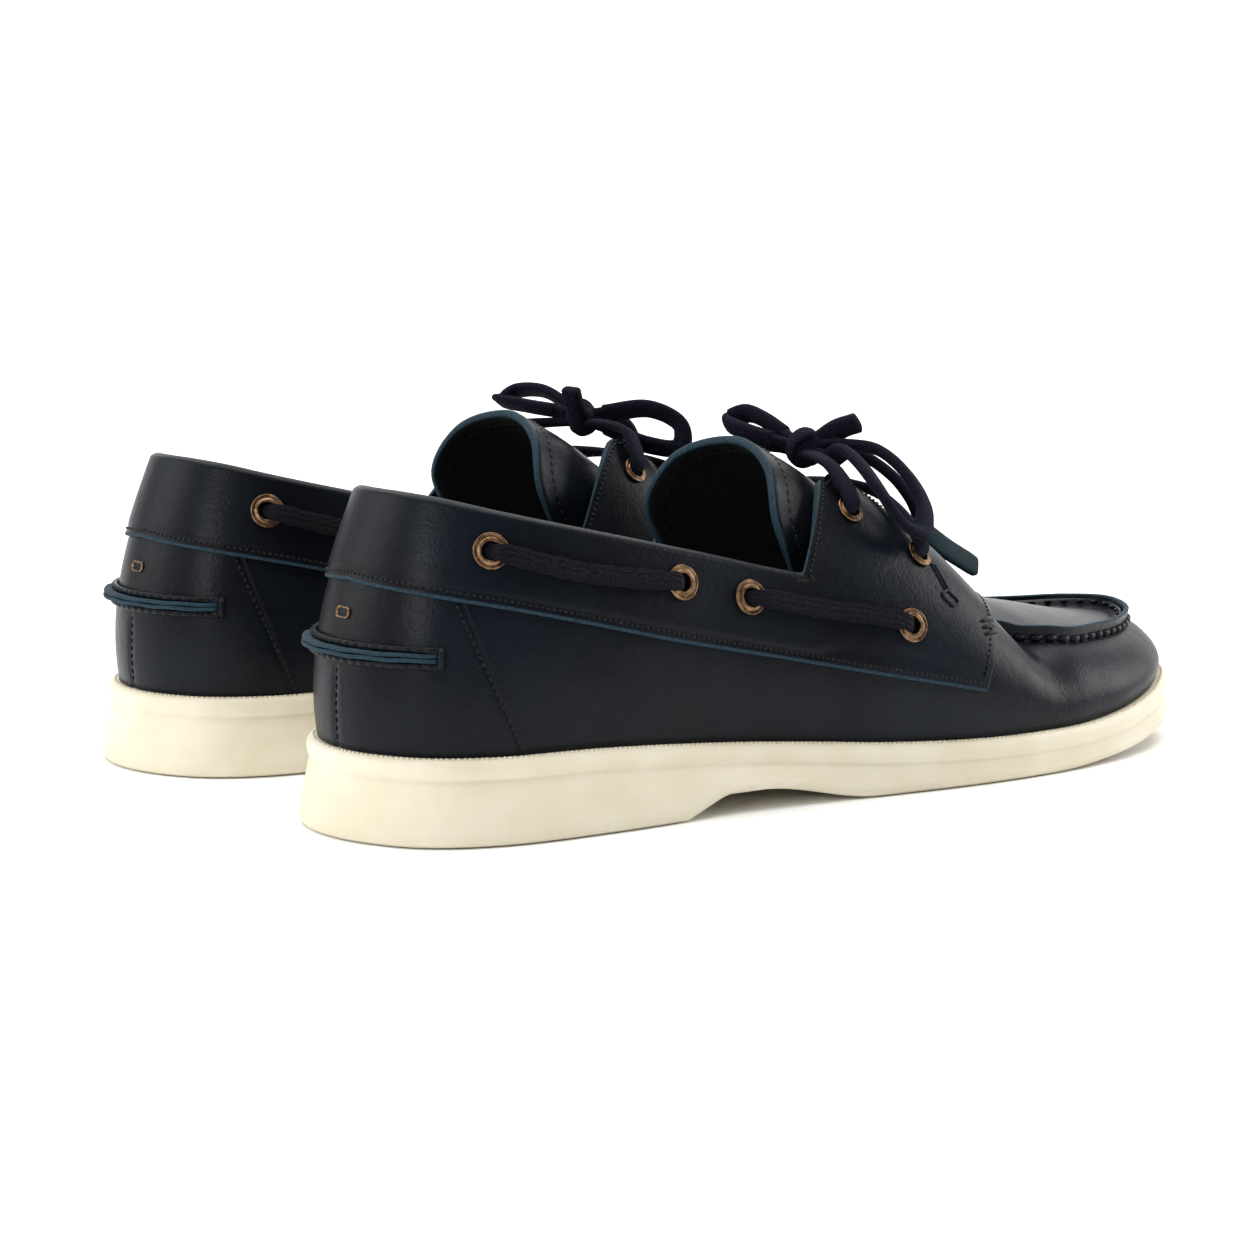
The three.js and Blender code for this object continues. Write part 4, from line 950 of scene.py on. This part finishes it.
def make_apron(foot):
    """Crowned leather on top of the toe, which turns up where it meets the moc seam."""
    u, s = np.linspace(0, 1, 90), np.linspace(0, 1, 45)
    q = 0.70 + 0.30 * np.sin(u * math.pi / 2)
    q[-1] = 0.9995
    reach = VAMP_THICKNESS + 0.6
    lateral = on_last(q, 1.0, 0) - plan_normal(q) * reach
    medial = on_last(-q, 1.0, 0) - plan_normal(-q) * reach
    crown = APRON_CROWN * smoothstep(1 - q, 0, 0.2)
    outer = lateral[:, None] * (1 - s)[None, :, None] + medial[:, None] * s[None, :, None]
    outer[..., 2] += 0.6 + crown[:, None] * (1 - (2 * s - 1) ** 2)
    width = np.linalg.norm(lateral - medial, axis=-1)[:, None]
    edge = np.minimum(s, 1 - s)[None] * width
    run_in = smoothstep(np.abs(q), 0.755, 0.78)[:, None]
    outer[..., 2] += run_in * (2.6 * np.exp(-(edge / 1.1) ** 2)
                               - 0.3 * np.exp(-((edge - 3.4) / 1.4) ** 2))
    inner = outer - np.array([0, 0, 1.3])
    points, faces, looks = leather_mesh(outer, inner, 0.2)
    apron = make_mesh(foot, "apron_leather", points, faces, [APRON_LEATHER_PAINTED_LIGHT, RAW_EDGE], looks)
    finish_piece(apron, foot, "navy_leather", "apron")


def make_moc_seam(foot):
    """Hand stitches of the moc seam, and on each side the tab's bars and the lace keeper."""
    q = np.linspace(0.768, 2 - 0.768, 500)
    line = last_point(q, 1.0) + plan_normal(q) * 0.35 + np.array([0, 0, 0.9])
    rows = [stitches(line, plan_normal(q), MOC_STITCH, 4.6, 1.8, 1.5, lean=0.08)]
    inside = last_point(q, 1.0) - plan_normal(q) * 3.2 + np.array([0, 0, 2.4])
    rows.append(stitches(inside, -plan_normal(q), MOC_STITCH, 2.2, 1.2, 1.0))
    for side in (-1, 1):
        for drop in (-1.7, 0, 1.7):
            v = np.linspace(0, 1, 12)
            at = side * (0.672 + 0.030 * v)
            share = share_at(at, 43.3 + drop)
            level = COLLAR_OUTER + 0.3 - 1.3 * smoothstep(v, 0.4, 0.8)
            rows.append(stitches_on(at, share, level, 8.0, 7.6, 1.5, 1.3))
        for shift in (-0.0022, 0.0022):
            v = np.linspace(0, 1, 14)
            at, share = side * (0.6415 + shift + 0.004 * v), 0.665 - 0.095 * v
            rows.append(ridge_on(at, share, COLLAR_OUTER + 0.05, 0.7, 0.9))
        turn = np.linspace(0, 2 * math.pi, 28)
        at = side * (0.646 + 0.0085 * np.sin(turn) ** 3)
        share = 0.535 + 0.032 * np.cos(turn)
        rows.append(ridge_on(at, share, COLLAR_OUTER + 0.1, 0.9, 0.9))
    lacing = make_mesh(foot, "moc_seam_lacing", *gathered(rows), [LEATHER])
    finish_piece(lacing, foot, "navy_leather")


def make_tongue(foot):
    """Arched tongue, lined with black on its inside, with a row of stitches near its edge."""
    sections = []
    for half in TONGUE_SECTIONS:
        other = [[x, -w, z] for x, w, z in half[-2::-1]]
        sections.append(smooth_path(half + other, 61))
    sections = np.array(sections)
    outer = np.stack([smooth_path(sections[:, k], 46) for k in range(sections.shape[1])])
    normal = unit(np.cross(np.gradient(outer, axis=1), np.gradient(outer, axis=0)))
    if normal[30, 20, 2] < 0:
        normal = -normal
    near = np.min([np.linalg.norm(outer - edge, axis=-1)
                   for edge in (outer[:, -1:], outer[:1], outer[-1:])], axis=0)
    sunk = -0.25 * np.exp(-((near - 3.2) / 0.8) ** 2)
    inner = outer - normal * 2.5
    points, faces, looks = leather_mesh(outer + normal * sunk[..., None], inner, 0.5,
                                        raw=("bottom", "first", "last", "top"))
    half_faces = (outer.shape[0] - 1) * (outer.shape[1] - 1)
    looks[half_faces:2 * half_faces] = [2] * half_faces
    tongue = make_mesh(foot, "tongue_leather", points, faces, [LEATHER, RAW_EDGE, LINING], looks)
    finish_piece(tongue, foot, "navy_leather", "tongue", body="tongue")
    rows = []
    for face, sign in ((outer, 1), (inner, -1)):
        rim, ups = (np.vstack([grid[2, 20:-3], grid[2:-2, -4], grid[-3, -4:20:-1]])
                    for grid in (face, normal * sign))
        rows.append(stitches(rim, ups, 2.7, 2.0, 0.65, 0.6))
    threads = make_mesh(foot, "tongue_stitches", *gathered(rows), [THREAD_WITH_PAINTED_GLINTS])
    finish_piece(threads, foot, "navy_leather", body="tongue")


def make_heel_roll(foot):
    """Two raw leaves that stand out over the heel, bound in above and below with sewn ridges."""
    q = np.linspace(-ROLL_END, ROLL_END, 121)
    reach = 4.8 * (1 - 0.72 * (np.abs(q) / ROLL_END) ** 3)
    depth = np.linspace(0, 1, 8)
    level = 0.2 + depth * reach[:, None]
    leaves = []
    for low, high in ((0.12, 1.15), (-1.15, -0.12)):
        waves = 0.09 * np.sin(q * 160 + high)[:, None] * depth
        lean = np.array([0, 0, 1.0]) * waves[..., None]
        top, bottom = (on_last(q[:, None], share_at(q, ROLL_Z + lift)[:, None], level) + lean
                       for lift in (high, low))
        leaves.append(leather_mesh(top, bottom, 0.25)[:2])
    roll = make_mesh(foot, "heel_roll_leaves", *gathered(leaves), [RAW_EDGE])
    finish_piece(roll, foot, "navy_leather", "heel_roll")
    ridges, threads = [], []
    run = distances(on_last(q, 0.4, 3))
    for lift in (1.95, -1.95):
        share = share_at(q, ROLL_Z + lift)
        height = 1.6 + 0.5 * np.cos(run * 2 * math.pi / 3.2)
        ridges.append(ridge_on(q, share, 0.9 + 0.7 * reach / 5.0, 1.9, height, 12))
        sewn = on_last(q, share_at(q, ROLL_Z + lift * 1.2), 1.9)
        threads.append(stitches(sewn, last_normal(q, share), 3.2, 2.5, 0.6, 0.6))
    for side in (-1, 1):
        z = np.linspace(-2.3, 2.3, 9)
        at = np.full(len(z), side * (ROLL_END + 0.004))
        arch = 1.9 * np.sqrt(np.clip(1 - (z / 2.5) ** 2, 0, 1))
        ridges.append(ridge_on(at, share_at(at, ROLL_Z + z), 0.4 + arch, 1.5, 1.3, 16))
    binding = make_mesh(foot, "heel_roll_binding", *gathered(ridges), [LEATHER])
    finish_piece(binding, foot, "navy_leather")
    sewing = make_mesh(foot, "heel_roll_stitches", *gathered(threads), [THREAD_WITH_PAINTED_GLINTS])
    finish_piece(sewing, foot, "navy_leather")


# Rings of the stud: [inset, height above the surface]. The last ones are the leather inside.
STUD_SIZE, STUD_CORNER, STUD_SIDES = (6.2, 3.2), 1.35, 40
STUD_LEVELS = [[0, -0.4], [0, 0.35], [0.15, 0.55], [0.42, 0.55], [0.5, 0.15], [1.2, 0.1]]
STUD_BRASS_RINGS = 4


def make_heel_stud(foot):
    """Small rounded brass frame above the roll."""
    angle = circle(STUD_SIDES)
    x, y = np.cos(angle), np.sin(angle)
    rings = []
    for inset, up in STUD_LEVELS:
        px, py = (np.sign(way) * (size / 2 - STUD_CORNER) + way * (STUD_CORNER - inset)
                  for way, size in zip((x, y), STUD_SIZE))
        rings.append(np.stack([px, py, np.full(STUD_SIDES, up)], -1))
    faces = tube_faces(len(rings), STUD_SIDES)
    brass = STUD_BRASS_RINGS * STUD_SIDES
    looks = [0] * brass + [1] * (len(faces) - 2 - brass) + [0, 1]
    share = float(share_at(0.0, STUD_Z))
    stud = make_mesh(foot, "heel_stud_plate", seat_on(np.vstack(rings), 0.0, share, PATCH_OUTER),
                     faces, [BRASS, LEATHER], looks)
    finish_piece(stud, foot, "aged_brass", "heel_stud")


# ---- eyelets ---------------------------------------------------------------------------------
# Section of an eyelet: [share of the way from the bore to the rim, height above the collar].
EYELET_SECTION = [[0, -2.2], [0, 0.8], [0.08, 1.1], [0.22, 1.22], [0.36, 1.0], [0.5, 0.78],
                  [0.7, 0.74], [0.8, 0.92], [0.92, 0.9], [1, 0.5], [0.95, 0.1], [0.34, 0.0],
                  [0.25, -0.5], [0.25, -2.2]]
DOT_SECTION = [[0.02, -0.1], [0.17, -0.1], [0.14, 0.1], [0.02, 0.13]]
DOTS = 24


def make_eyelet(foot, side, name, q, share, size):
    """Rolled brass ring; the side eyelets have a circle of raised dots."""
    bore, flange = size["bore"], size["flange"]
    parts = [lathe([[bore + (flange - bore) * out, up] for out, up in EYELET_SECTION])]
    if size is SIDE_EYELET:
        middle = bore + (flange - bore) * 0.6
        for angle in circle(DOTS):
            dot, faces = lathe(DOT_SECTION, 8)
            place = [math.cos(angle) * middle, math.sin(angle) * middle, 0.76]
            parts.append((dot + np.array(place), faces))
    label = f"eyelet_{name}_{'lateral' if side > 0 else 'medial'}"
    points, faces = gathered(parts)
    points = seat_on(points, side * q, share, COLLAR_OUTER)
    eyelet = make_mesh(foot, label + "_ring", points, faces, [BRASS])
    finish_piece(eyelet, foot, "aged_brass", label)


# ---- sole, footbed, insole -------------------------------------------------------------------
def outline(q, reach, z):
    """Foot of the last at height z, moved outwards by reach."""
    base = spline(RING, wrap(q))
    line = np.stack([base[..., 0], base[..., 1], np.broadcast_to(z, base[..., 0].shape)], -1)
    return line + plan_normal(q) * np.broadcast_to(reach, base[..., 0].shape)[..., None]


def underside_height(q):
    """Height of the underside: the raised waist in front of the heel, and the toe spring."""
    station = np.abs(wrap(q))
    breast = np.clip((station - 0.35) / 0.04, 0, 1)
    fade = 1 - smoothstep(station, 0.43, 0.56)
    arch = np.where((station > 0.35) & (station < 0.56), 5.5 * np.minimum(breast, fade), 0)
    return arch + 9.5 * np.maximum(0, (station - 0.76) / 0.24) ** 1.6


SOLE_STEPS = 150


def stacked(levels, cross_rows=24):
    """Rings round the shoe, closed below and above by strips from side to side."""
    half = np.linspace(0, 1, SOLE_STEPS + 1)
    half = half + (((1 - np.cos(math.pi * half)) / 2) - half) * 0.6
    stations = np.concatenate([half, -half[-2:0:-1]])
    count = len(stations)
    rings = [level(stations) for level in levels]
    points = list(rings)
    faces = tube_faces(len(rings), count, capped=False)
    start = len(rings) * count
    for ring_index, down in ((0, True), (len(rings) - 1, False)):
        ring = rings[ring_index]
        mix = np.linspace(0, 1, cross_rows + 1)[1:-1]
        left, right = ring[1:SOLE_STEPS], ring[:SOLE_STEPS:-1]
        inner = left[:, None] * (1 - mix)[None, :, None] + right[:, None] * mix[None, :, None]
        points.append(inner.reshape(-1, 3))
        base, rows = ring_index * count, cross_rows - 1

        def at(i, k):
            if k == 0 or i in (0, SOLE_STEPS):
                return base + i
            if k == cross_rows:
                return base + count - i
            return start + (i - 1) * rows + k - 1

        for i in range(SOLE_STEPS):
            for k in range(cross_rows):
                face = (at(i, k), at(i + 1, k), at(i + 1, k + 1), at(i, k + 1))
                face = tuple(dict.fromkeys(face))
                if len(face) > 2:
                    faces.append(tuple(reversed(face)) if down else face)
        start += len(points[-1])
    return np.vstack(points), faces


# Rings of the sole: [reach, height] of the tread edge over the underside and of the lip over
# the foot of the last, and shares of the height for the flared wall between them.
TREAD_RINGS = [[-4.0, 0.0], [-2.6, 0.0], [-1.5, 0.25], [-0.8, 0.9], [-0.5, 1.8]]
WALL_SHARES = (0.15, 0.35, 0.55, 0.75, 0.9, 1.0)
LIP_RINGS = [[2.45, -5.9], [2.75, -5.3], [3.15, -4.6], [3.3, -3.6], [3.3, -2.4], [3.1, -1.5],
             [2.6, -0.8], [1.9, -0.42], [1.2, -0.32], [-1.0, -0.3]]
SOLE_REACH = 3.0
LIP_DEPTH = 6.2


def make_sole(foot):
    """Unit sole: tread edge, flared wall and rounded lip, with beading along its top edge."""
    def flare(q):
        return 3.4 * (1 - 0.65 * smoothstep(np.abs(wrap(q)), 0.3, 0.7))

    def tread(reach, height):
        return lambda q: outline(q, SOLE_REACH + flare(q) + reach, underside_height(q) + height)

    def wall(share):
        def ring(q):
            low, high = underside_height(q) + TREAD_RINGS[-1][1], base_height(q) - LIP_DEPTH
            spread = SOLE_REACH - 0.4 + (flare(q) - 0.2) * (1 - share)
            return outline(q, spread, low + (high - low) * share)
        return ring

    def lip(reach, height):
        return lambda q: outline(q, reach, base_height(q) + height)

    levels = [tread(*ring) for ring in TREAD_RINGS]
    levels += [wall(share) for share in WALL_SHARES]
    levels += [lip(*ring) for ring in LIP_RINGS]
    points, faces = stacked(levels)
    sole = make_mesh(foot, "rubber_sole", points, faces, [RUBBER])
    finish_piece(sole, foot, "cream_rubber", "outsole")
    q = np.linspace(-1, 1, 1400)[:-1]
    line = outline(q, 1.55, base_height(q) - 0.2)
    welt = stitches(line, np.tile([0, 0, 1.0], (len(q), 1)), 1.5, 0.85, 0.8, 0.5)
    beads = make_mesh(foot, "sole_rand_beading", *welt, [RUBBER])
    finish_piece(beads, foot, "cream_rubber")


def make_inner_boards(foot):
    """Footbed on the sole, and the insole on the footbed."""
    for name, bottom, thickness, look, slot in (("footbed", 0.0, 4.0, FOAM, "footbed_foam"),
                                                ("insole", 4.3, 1.5, LINING, "navy_leather")):
        top = bottom + thickness
        levels = [lambda q, r=reach, h=height: outline(q, r, base_height(q) + h)
                  for reach, height in ((-2.7, bottom), (-2.5, bottom + 0.3),
                                        (-2.5, top - 0.4), (-2.9, top))]
        points, faces = stacked(levels, 12)
        board = make_mesh(foot, name + "_board", points, faces, [look])
        finish_piece(board, foot, slot, name)


# ---- laces -----------------------------------------------------------------------------------
# The side lace on its way out of a hole: [distance past the hole, level, share of its width].
LACE_PASSAGE = [[-7, CHANNEL, 0.9], [-2.6, CHANNEL + 0.3, 0.1], [0, 1.2, 0.0],
                [2.2, OUTSIDE - 0.5, 0.3], [4.2, OUTSIDE, 0.75], [7, OUTSIDE + 0.1, 1.0]]
BORE_WIDTH = 4.3
# Length of the facing vectors that are mixed along a lace.
FACING = 8
# How far the outer runs hang down, as a share of the height, before their second hole.
LACE_SAGS = {1: 0.012, 3: 0.02}


def side_lace_route(side):
    """Stations, shares, levels and widths of the side lace on one side, from the heel."""
    holes = [[q, share] for _, q, share, _ in eyelets_of(side)[:4]]
    guide = np.array([[0, float(share_at(0, 79.3))], [0.08, 0.79], *holes, [0.61, 0.388]])
    rows = [[q, CHANNEL, LACE_WIDTH] for q in (0, 0.03, 0.06, 0.09, 0.12)]
    for index, (q, _) in enumerate(holes):
        ahead, behind = last_point(side * (q + 0.01), 0.5), last_point(side * (q - 0.01), 0.5)
        reach = np.linalg.norm(ahead - behind) / 0.02
        out = index in (0, 2)
        way = 1 if out else -1
        for d, level, fullness in LACE_PASSAGE[::way]:
            width = BORE_WIDTH + (LACE_WIDTH - BORE_WIDTH) * fullness
            rows.append([q + way * d / reach, level, width])
        if out:
            span = holes[index + 1][0] - q
            rows += [[q + span * f, OUTSIDE + 0.2 * math.sin(9 * f), LACE_WIDTH]
                     for f in (0.3, 0.5, 0.7)]
    rows = np.array(sorted(rows))
    q = rows[:, 0]
    share = np.interp(q, guide[:, 0], guide[:, 1])
    for index, sag in LACE_SAGS.items():
        a, b = holes[index - 1][0], holes[index][0]
        share -= sag * np.sin(math.pi * np.clip((q - a) / (b - a), 0, 1))
    return side * q, share, rows[:, 1], rows[:, 2]


def make_side_lace(foot):
    """Rawhide lace round the heel, in and out through the side eyelets."""
    lateral, medial = side_lace_route(1), side_lace_route(-1)
    q, share, level, width = (np.concatenate([m[:0:-1], l]) for m, l in zip(medial, lateral))
    points, normals = on_last(q, share, level), last_normal(q, share)
    fine = smooth_columns(np.hstack([points, normals * FACING, width[:, None]]), 520)
    step = np.arange(len(fine))
    wobble = np.sin(step * 0.9) * 0.18 + np.sin(step * 0.37) * 0.15
    body, faces, uv = sweep(fine[:, :3], unit(fine[:, 3:6]), fine[:, 6] + wobble, LACE_THICKNESS,
                            squareness=3.6)
    lace = make_mesh(foot, "rawhide_side_lace", body, faces, [SIDE_LACE], uv=uv)
    finish_piece(lace, foot, "navy_lace", "lace_side")


def smooth_columns(rows, count):
    """Smooth path whose extra columns (facing, width) follow the points."""
    points = smooth_path(rows[:, :3], count)
    run = distances(rows[:, :3])
    want = np.linspace(0, run[-1], count)
    rest = [np.interp(want, run, rows[:, k]) for k in range(3, rows.shape[1])]
    return np.hstack([points, np.stack(rest, -1)])


def lace_out_of(eyelet, side, steps):
    """Rows of point, facing and width of a strand that rises out of an upper eyelet."""
    _, q, share, _ = eyelet
    slope = unit(on_last(side * q, share + 0.05, 0) - on_last(side * q, share, 0))
    rows = [[0, -1.5, -slope, 4.4], [0, 1.5, -slope, 4.4],
            [0.012, OUTSIDE - 0.3, unit(last_normal(side * q, share) - slope), 5.2]]
    rows += [[step, OUTSIDE + 0.2, last_normal(side * q, share + step), BOW_WIDTH]
             for step in steps]
    return [np.concatenate([on_last(side * q, share + step, level), face * FACING, [width]])
            for step, level, face, width in rows]


def make_crossing(foot, name, which, steps, middle, node_name):
    """Strand from a lateral eyelet over the tongue to the medial one."""
    lateral = lace_out_of(eyelets_of(1)[which], 1, steps)
    medial = lace_out_of(eyelets_of(-1)[which], -1, steps)
    if middle is None:
        between = (lateral[-1][:3] + medial[-1][:3]) / 2 + np.array([0, 0, 2.0])
    else:
        between = np.array(middle, float) + np.array([0, 0, -1.5])
    rows = np.array(lateral + [[*between, 0, 0, FACING, BOW_WIDTH]] + medial[::-1])
    fine = smooth_columns(rows, 150)
    body, faces, uv = sweep(fine[:, :3], unit(fine[:, 3:6]), fine[:, 6], BOW_THICKNESS - 0.4)
    lace = make_mesh(foot, name, body, faces, [BOW_LACE], uv=uv)
    finish_piece(lace, foot, "navy_lace", *([node_name] if node_name else []))


# Free strands of the bow: [name in BOWS, name of the piece, far end, facing of its flat side].
STRANDS = [["outer", "loop_outer", "object", [0.5, 0.3, 0.8]],
           ["inner", "loop_inner", "object", [0.8, 0.3, 0.5]],
           ["tail", "tail", "fitting", [0.6, 0.3, 0.8]]]
TIP_FACING = [-0.35, 0.75, 0.55]
TIP_WIDTH, TIP_THICKNESS = 6.8, 2.4


def make_bow(foot):
    """Two loops and the tail with its leather tip, as cords, and the knot that holds them."""
    bow = BOWS[foot]
    made = []
    for name, label, far_end, facing in STRANDS:
        path = smooth_path(bow[name], 90)
        body, faces, uv = sweep(path, np.tile(facing, (len(path), 1)), BOW_WIDTH, BOW_THICKNESS,
                                cap=0.3)
        strand = make_mesh(foot, "rawhide_" + label, body, faces, [BOW_LACE], uv=uv)
        made.append((strand, path, far_end, label))
    path = smooth_path(bow["tip"], 24)
    run = np.linspace(0, 1, len(path))
    widths = TIP_WIDTH - 1.2 * np.exp(-5 * run) - 0.5 * smoothstep(run, 0.88, 1)
    body, faces, uv = sweep(path, np.tile(TIP_FACING, (len(path), 1)), widths, TIP_THICKNESS,
                            squareness=4)
    tip = make_mesh(foot, "lace_tip_leather", body, faces, [TIP_LEATHER], uv=uv)
    finish_piece(tip, foot, "teal_leather", "lace_tip")
    for piece, path, far_end, label in made:
        finish_piece(piece, foot, "navy_lace", "lace_" + label)
    make_knot(foot, bow)


# Turns of the knot: [two directions across it, its two radii, how far it leaves their plane].
WRAPS = [[[0.9, 0.25, 0.1], [-0.15, 0.35, 0.95], 3.9, 4.6, 0.0],
         [[0.35, 0.9, -0.2], [0.25, 0.15, 0.95], 4.6, 3.3, 0.7],
         [[0.6, -0.7, 0.1], [0.1, 0.1, 0.95], 3.0, 3.9, -0.5]]


def make_knot(foot, bow):
    """Turns wrapped round the crossing strands, and the short end that stands out of them."""
    centre = np.array(bow["knot"], float)
    turn = np.linspace(0, 2 * math.pi, 64)
    parts = []
    for first, second, wide, high, lift in WRAPS:
        a, b = unit(np.array(first)), unit(np.array(second))
        loop = centre + np.outer(np.cos(turn) * wide, a) + np.outer(np.sin(turn) * high, b)
        loop[:, 2] += lift * np.sin(2 * turn)
        parts.append(sweep(loop, loop - centre, 5.4, 2.8, cap=0.1))
    for start, end in ((bow["outer"][0], bow["inner"][-1]), (bow["tail"][0], bow["outer"][-1]),
                       (bow["inner"][0], bow["tail"][0])):
        inwards, outwards = (centre + (np.array(p) - centre) * 0.3 for p in (start, end))
        strand = smooth_path([start, inwards, outwards, end], 30)
        parts.append(sweep(strand, np.tile([0.6, 0.3, 0.8], (len(strand), 1)), 5.8, 3.0, cap=0.2))
    stub = smooth_path(bow["stub"], 30)
    parts.append(sweep(stub, np.tile([0.7, 0.2, 0.6], (len(stub), 1)), 6.6, 3.4,
                       squareness=3.4, cap=0.25))
    points, faces = gathered([part[:2] for part in parts])
    uv = np.vstack([part[2] for part in parts])
    knot = make_mesh(foot, "rawhide_knot", points, faces, [BOW_LACE], uv=uv)
    finish_piece(knot, foot, "navy_lace", "lace_knot")


for foot in FEET:
    make_bow(foot)
    make_crossing(foot, "rawhide_front_lace", 5, [0.08, 0.16, 0.25, 0.32], None, "lace_front")
    make_crossing(foot, "rawhide_risers", 4, [0.08, 0.14, 0.2], BOWS[foot]["knot"], None)
    make_side_lace(foot)
    make_sole(foot)
    make_inner_boards(foot)
    make_vamp(foot)
    make_heel_patch(foot)
    make_collar(foot)
    make_lining(foot)
    make_apron(foot)
    make_moc_seam(foot)
    make_tongue(foot)
    make_heel_roll(foot)
    make_heel_stud(foot)
    for side in (-1, 1):
        for name, q, share, size in eyelets_of(side):
            make_eyelet(foot, side, name, q, share, size)


# ---- floor and lights ------------------------------------------------------------------------
# Strength of the room that lights the shoes, and of the paper behind them.
ROOM_LIGHT, PAPER_LIGHT = 0.07, 1.7
PAPER_RINGS = (0.5, 0.9, 1.35)
PAPER_SIDES = 96


def make_stage():
    """Pale paper floor."""
    points, faces = [[0, 0, 0]], []
    for ring, radius in enumerate(PAPER_RINGS):
        points += [[math.cos(a) * radius, math.sin(a) * radius, 0] for a in circle(PAPER_SIDES)]
        high = 1 + ring * PAPER_SIDES
        for i in range(PAPER_SIDES):
            j = (i + 1) % PAPER_SIDES
            if ring == 0:
                faces.append((0, high + i, high + j))
            else:
                low = high - PAPER_SIDES
                faces.append((low + i, high + i, high + j, low + j))
    data = bpy.data.meshes.new("floor")
    data.from_pydata(points, [], faces)
    paper, _, _ = new_material("matt_white_paper", "#fcfcfb", 0.9, Specular_IOR_Level=0.0)
    data.materials.append(paper)
    floor = bpy.data.objects.new("floor", data)
    bpy.context.scene.collection.objects.link(floor)
    floor.location.z = -0.0002


def make_light(name, place, aim, size, power):
    """Soft box: a rectangle that faces its aim."""
    data = bpy.data.lights.new(name, "AREA")
    data.shape, data.size, data.size_y = "RECTANGLE", size[0], size[1]
    data.energy = power
    light = bpy.data.objects.new(name, data)
    bpy.context.scene.collection.objects.link(light)
    light.location = place
    light.rotation_euler = (Vector(aim) - Vector(place)).to_track_quat("-Z", "Y").to_euler()


def make_surroundings():
    """White paper behind the shoes as far as the eye sees, and a dimmer room that lights them."""
    world = bpy.data.worlds.new("studio")
    world.use_nodes = True
    tree = world.node_tree
    way = node(tree, "ShaderNodeTexCoord").outputs["Generated"]
    ahead = node(tree, "ShaderNodeVectorMath", [[0, way], [1, (0.62, 0.78, 0.1)]],
                 operation="DOT_PRODUCT")
    room = node(tree, "ShaderNodeMapRange",
                [["Value", ahead.outputs["Value"]], ["From Min", 0.5], ["From Max", 0.92],
                 ["To Min", ROOM_LIGHT], ["To Max", PAPER_LIGHT]])
    seen = node(tree, "ShaderNodeLightPath").outputs["Is Camera Ray"]
    power = node(tree, "ShaderNodeMath", [[0, room.outputs["Result"]], [1, seen]],
                 operation="MAXIMUM")
    tree.links.new(power.outputs["Value"], tree.nodes["Background"].inputs["Strength"])
    tree.nodes["Background"].inputs["Color"].default_value = (1, 1, 1, 1)
    bpy.context.scene.world = world


make_stage()
make_surroundings()
make_light("overhead_soft_box", (0.2, 0.3, 2.4), (0, 0, 0), (3.4, 3.4), 118)
make_light("front_soft_box", (1.9, -0.7, 0.7), (0, 0, 0.05), (1.2, 1.0), 20)
make_light("heel_soft_box", (-1.5, 1.1, 0.8), (0, 0, 0.05), (1.5, 1.4), 17)
make_light("left_soft_box", (-1.8, -0.75, 0.75), (0, 0, 0.05), (0.8, 0.7), 13)
bpy.context.scene.view_settings.view_transform = "Standard"
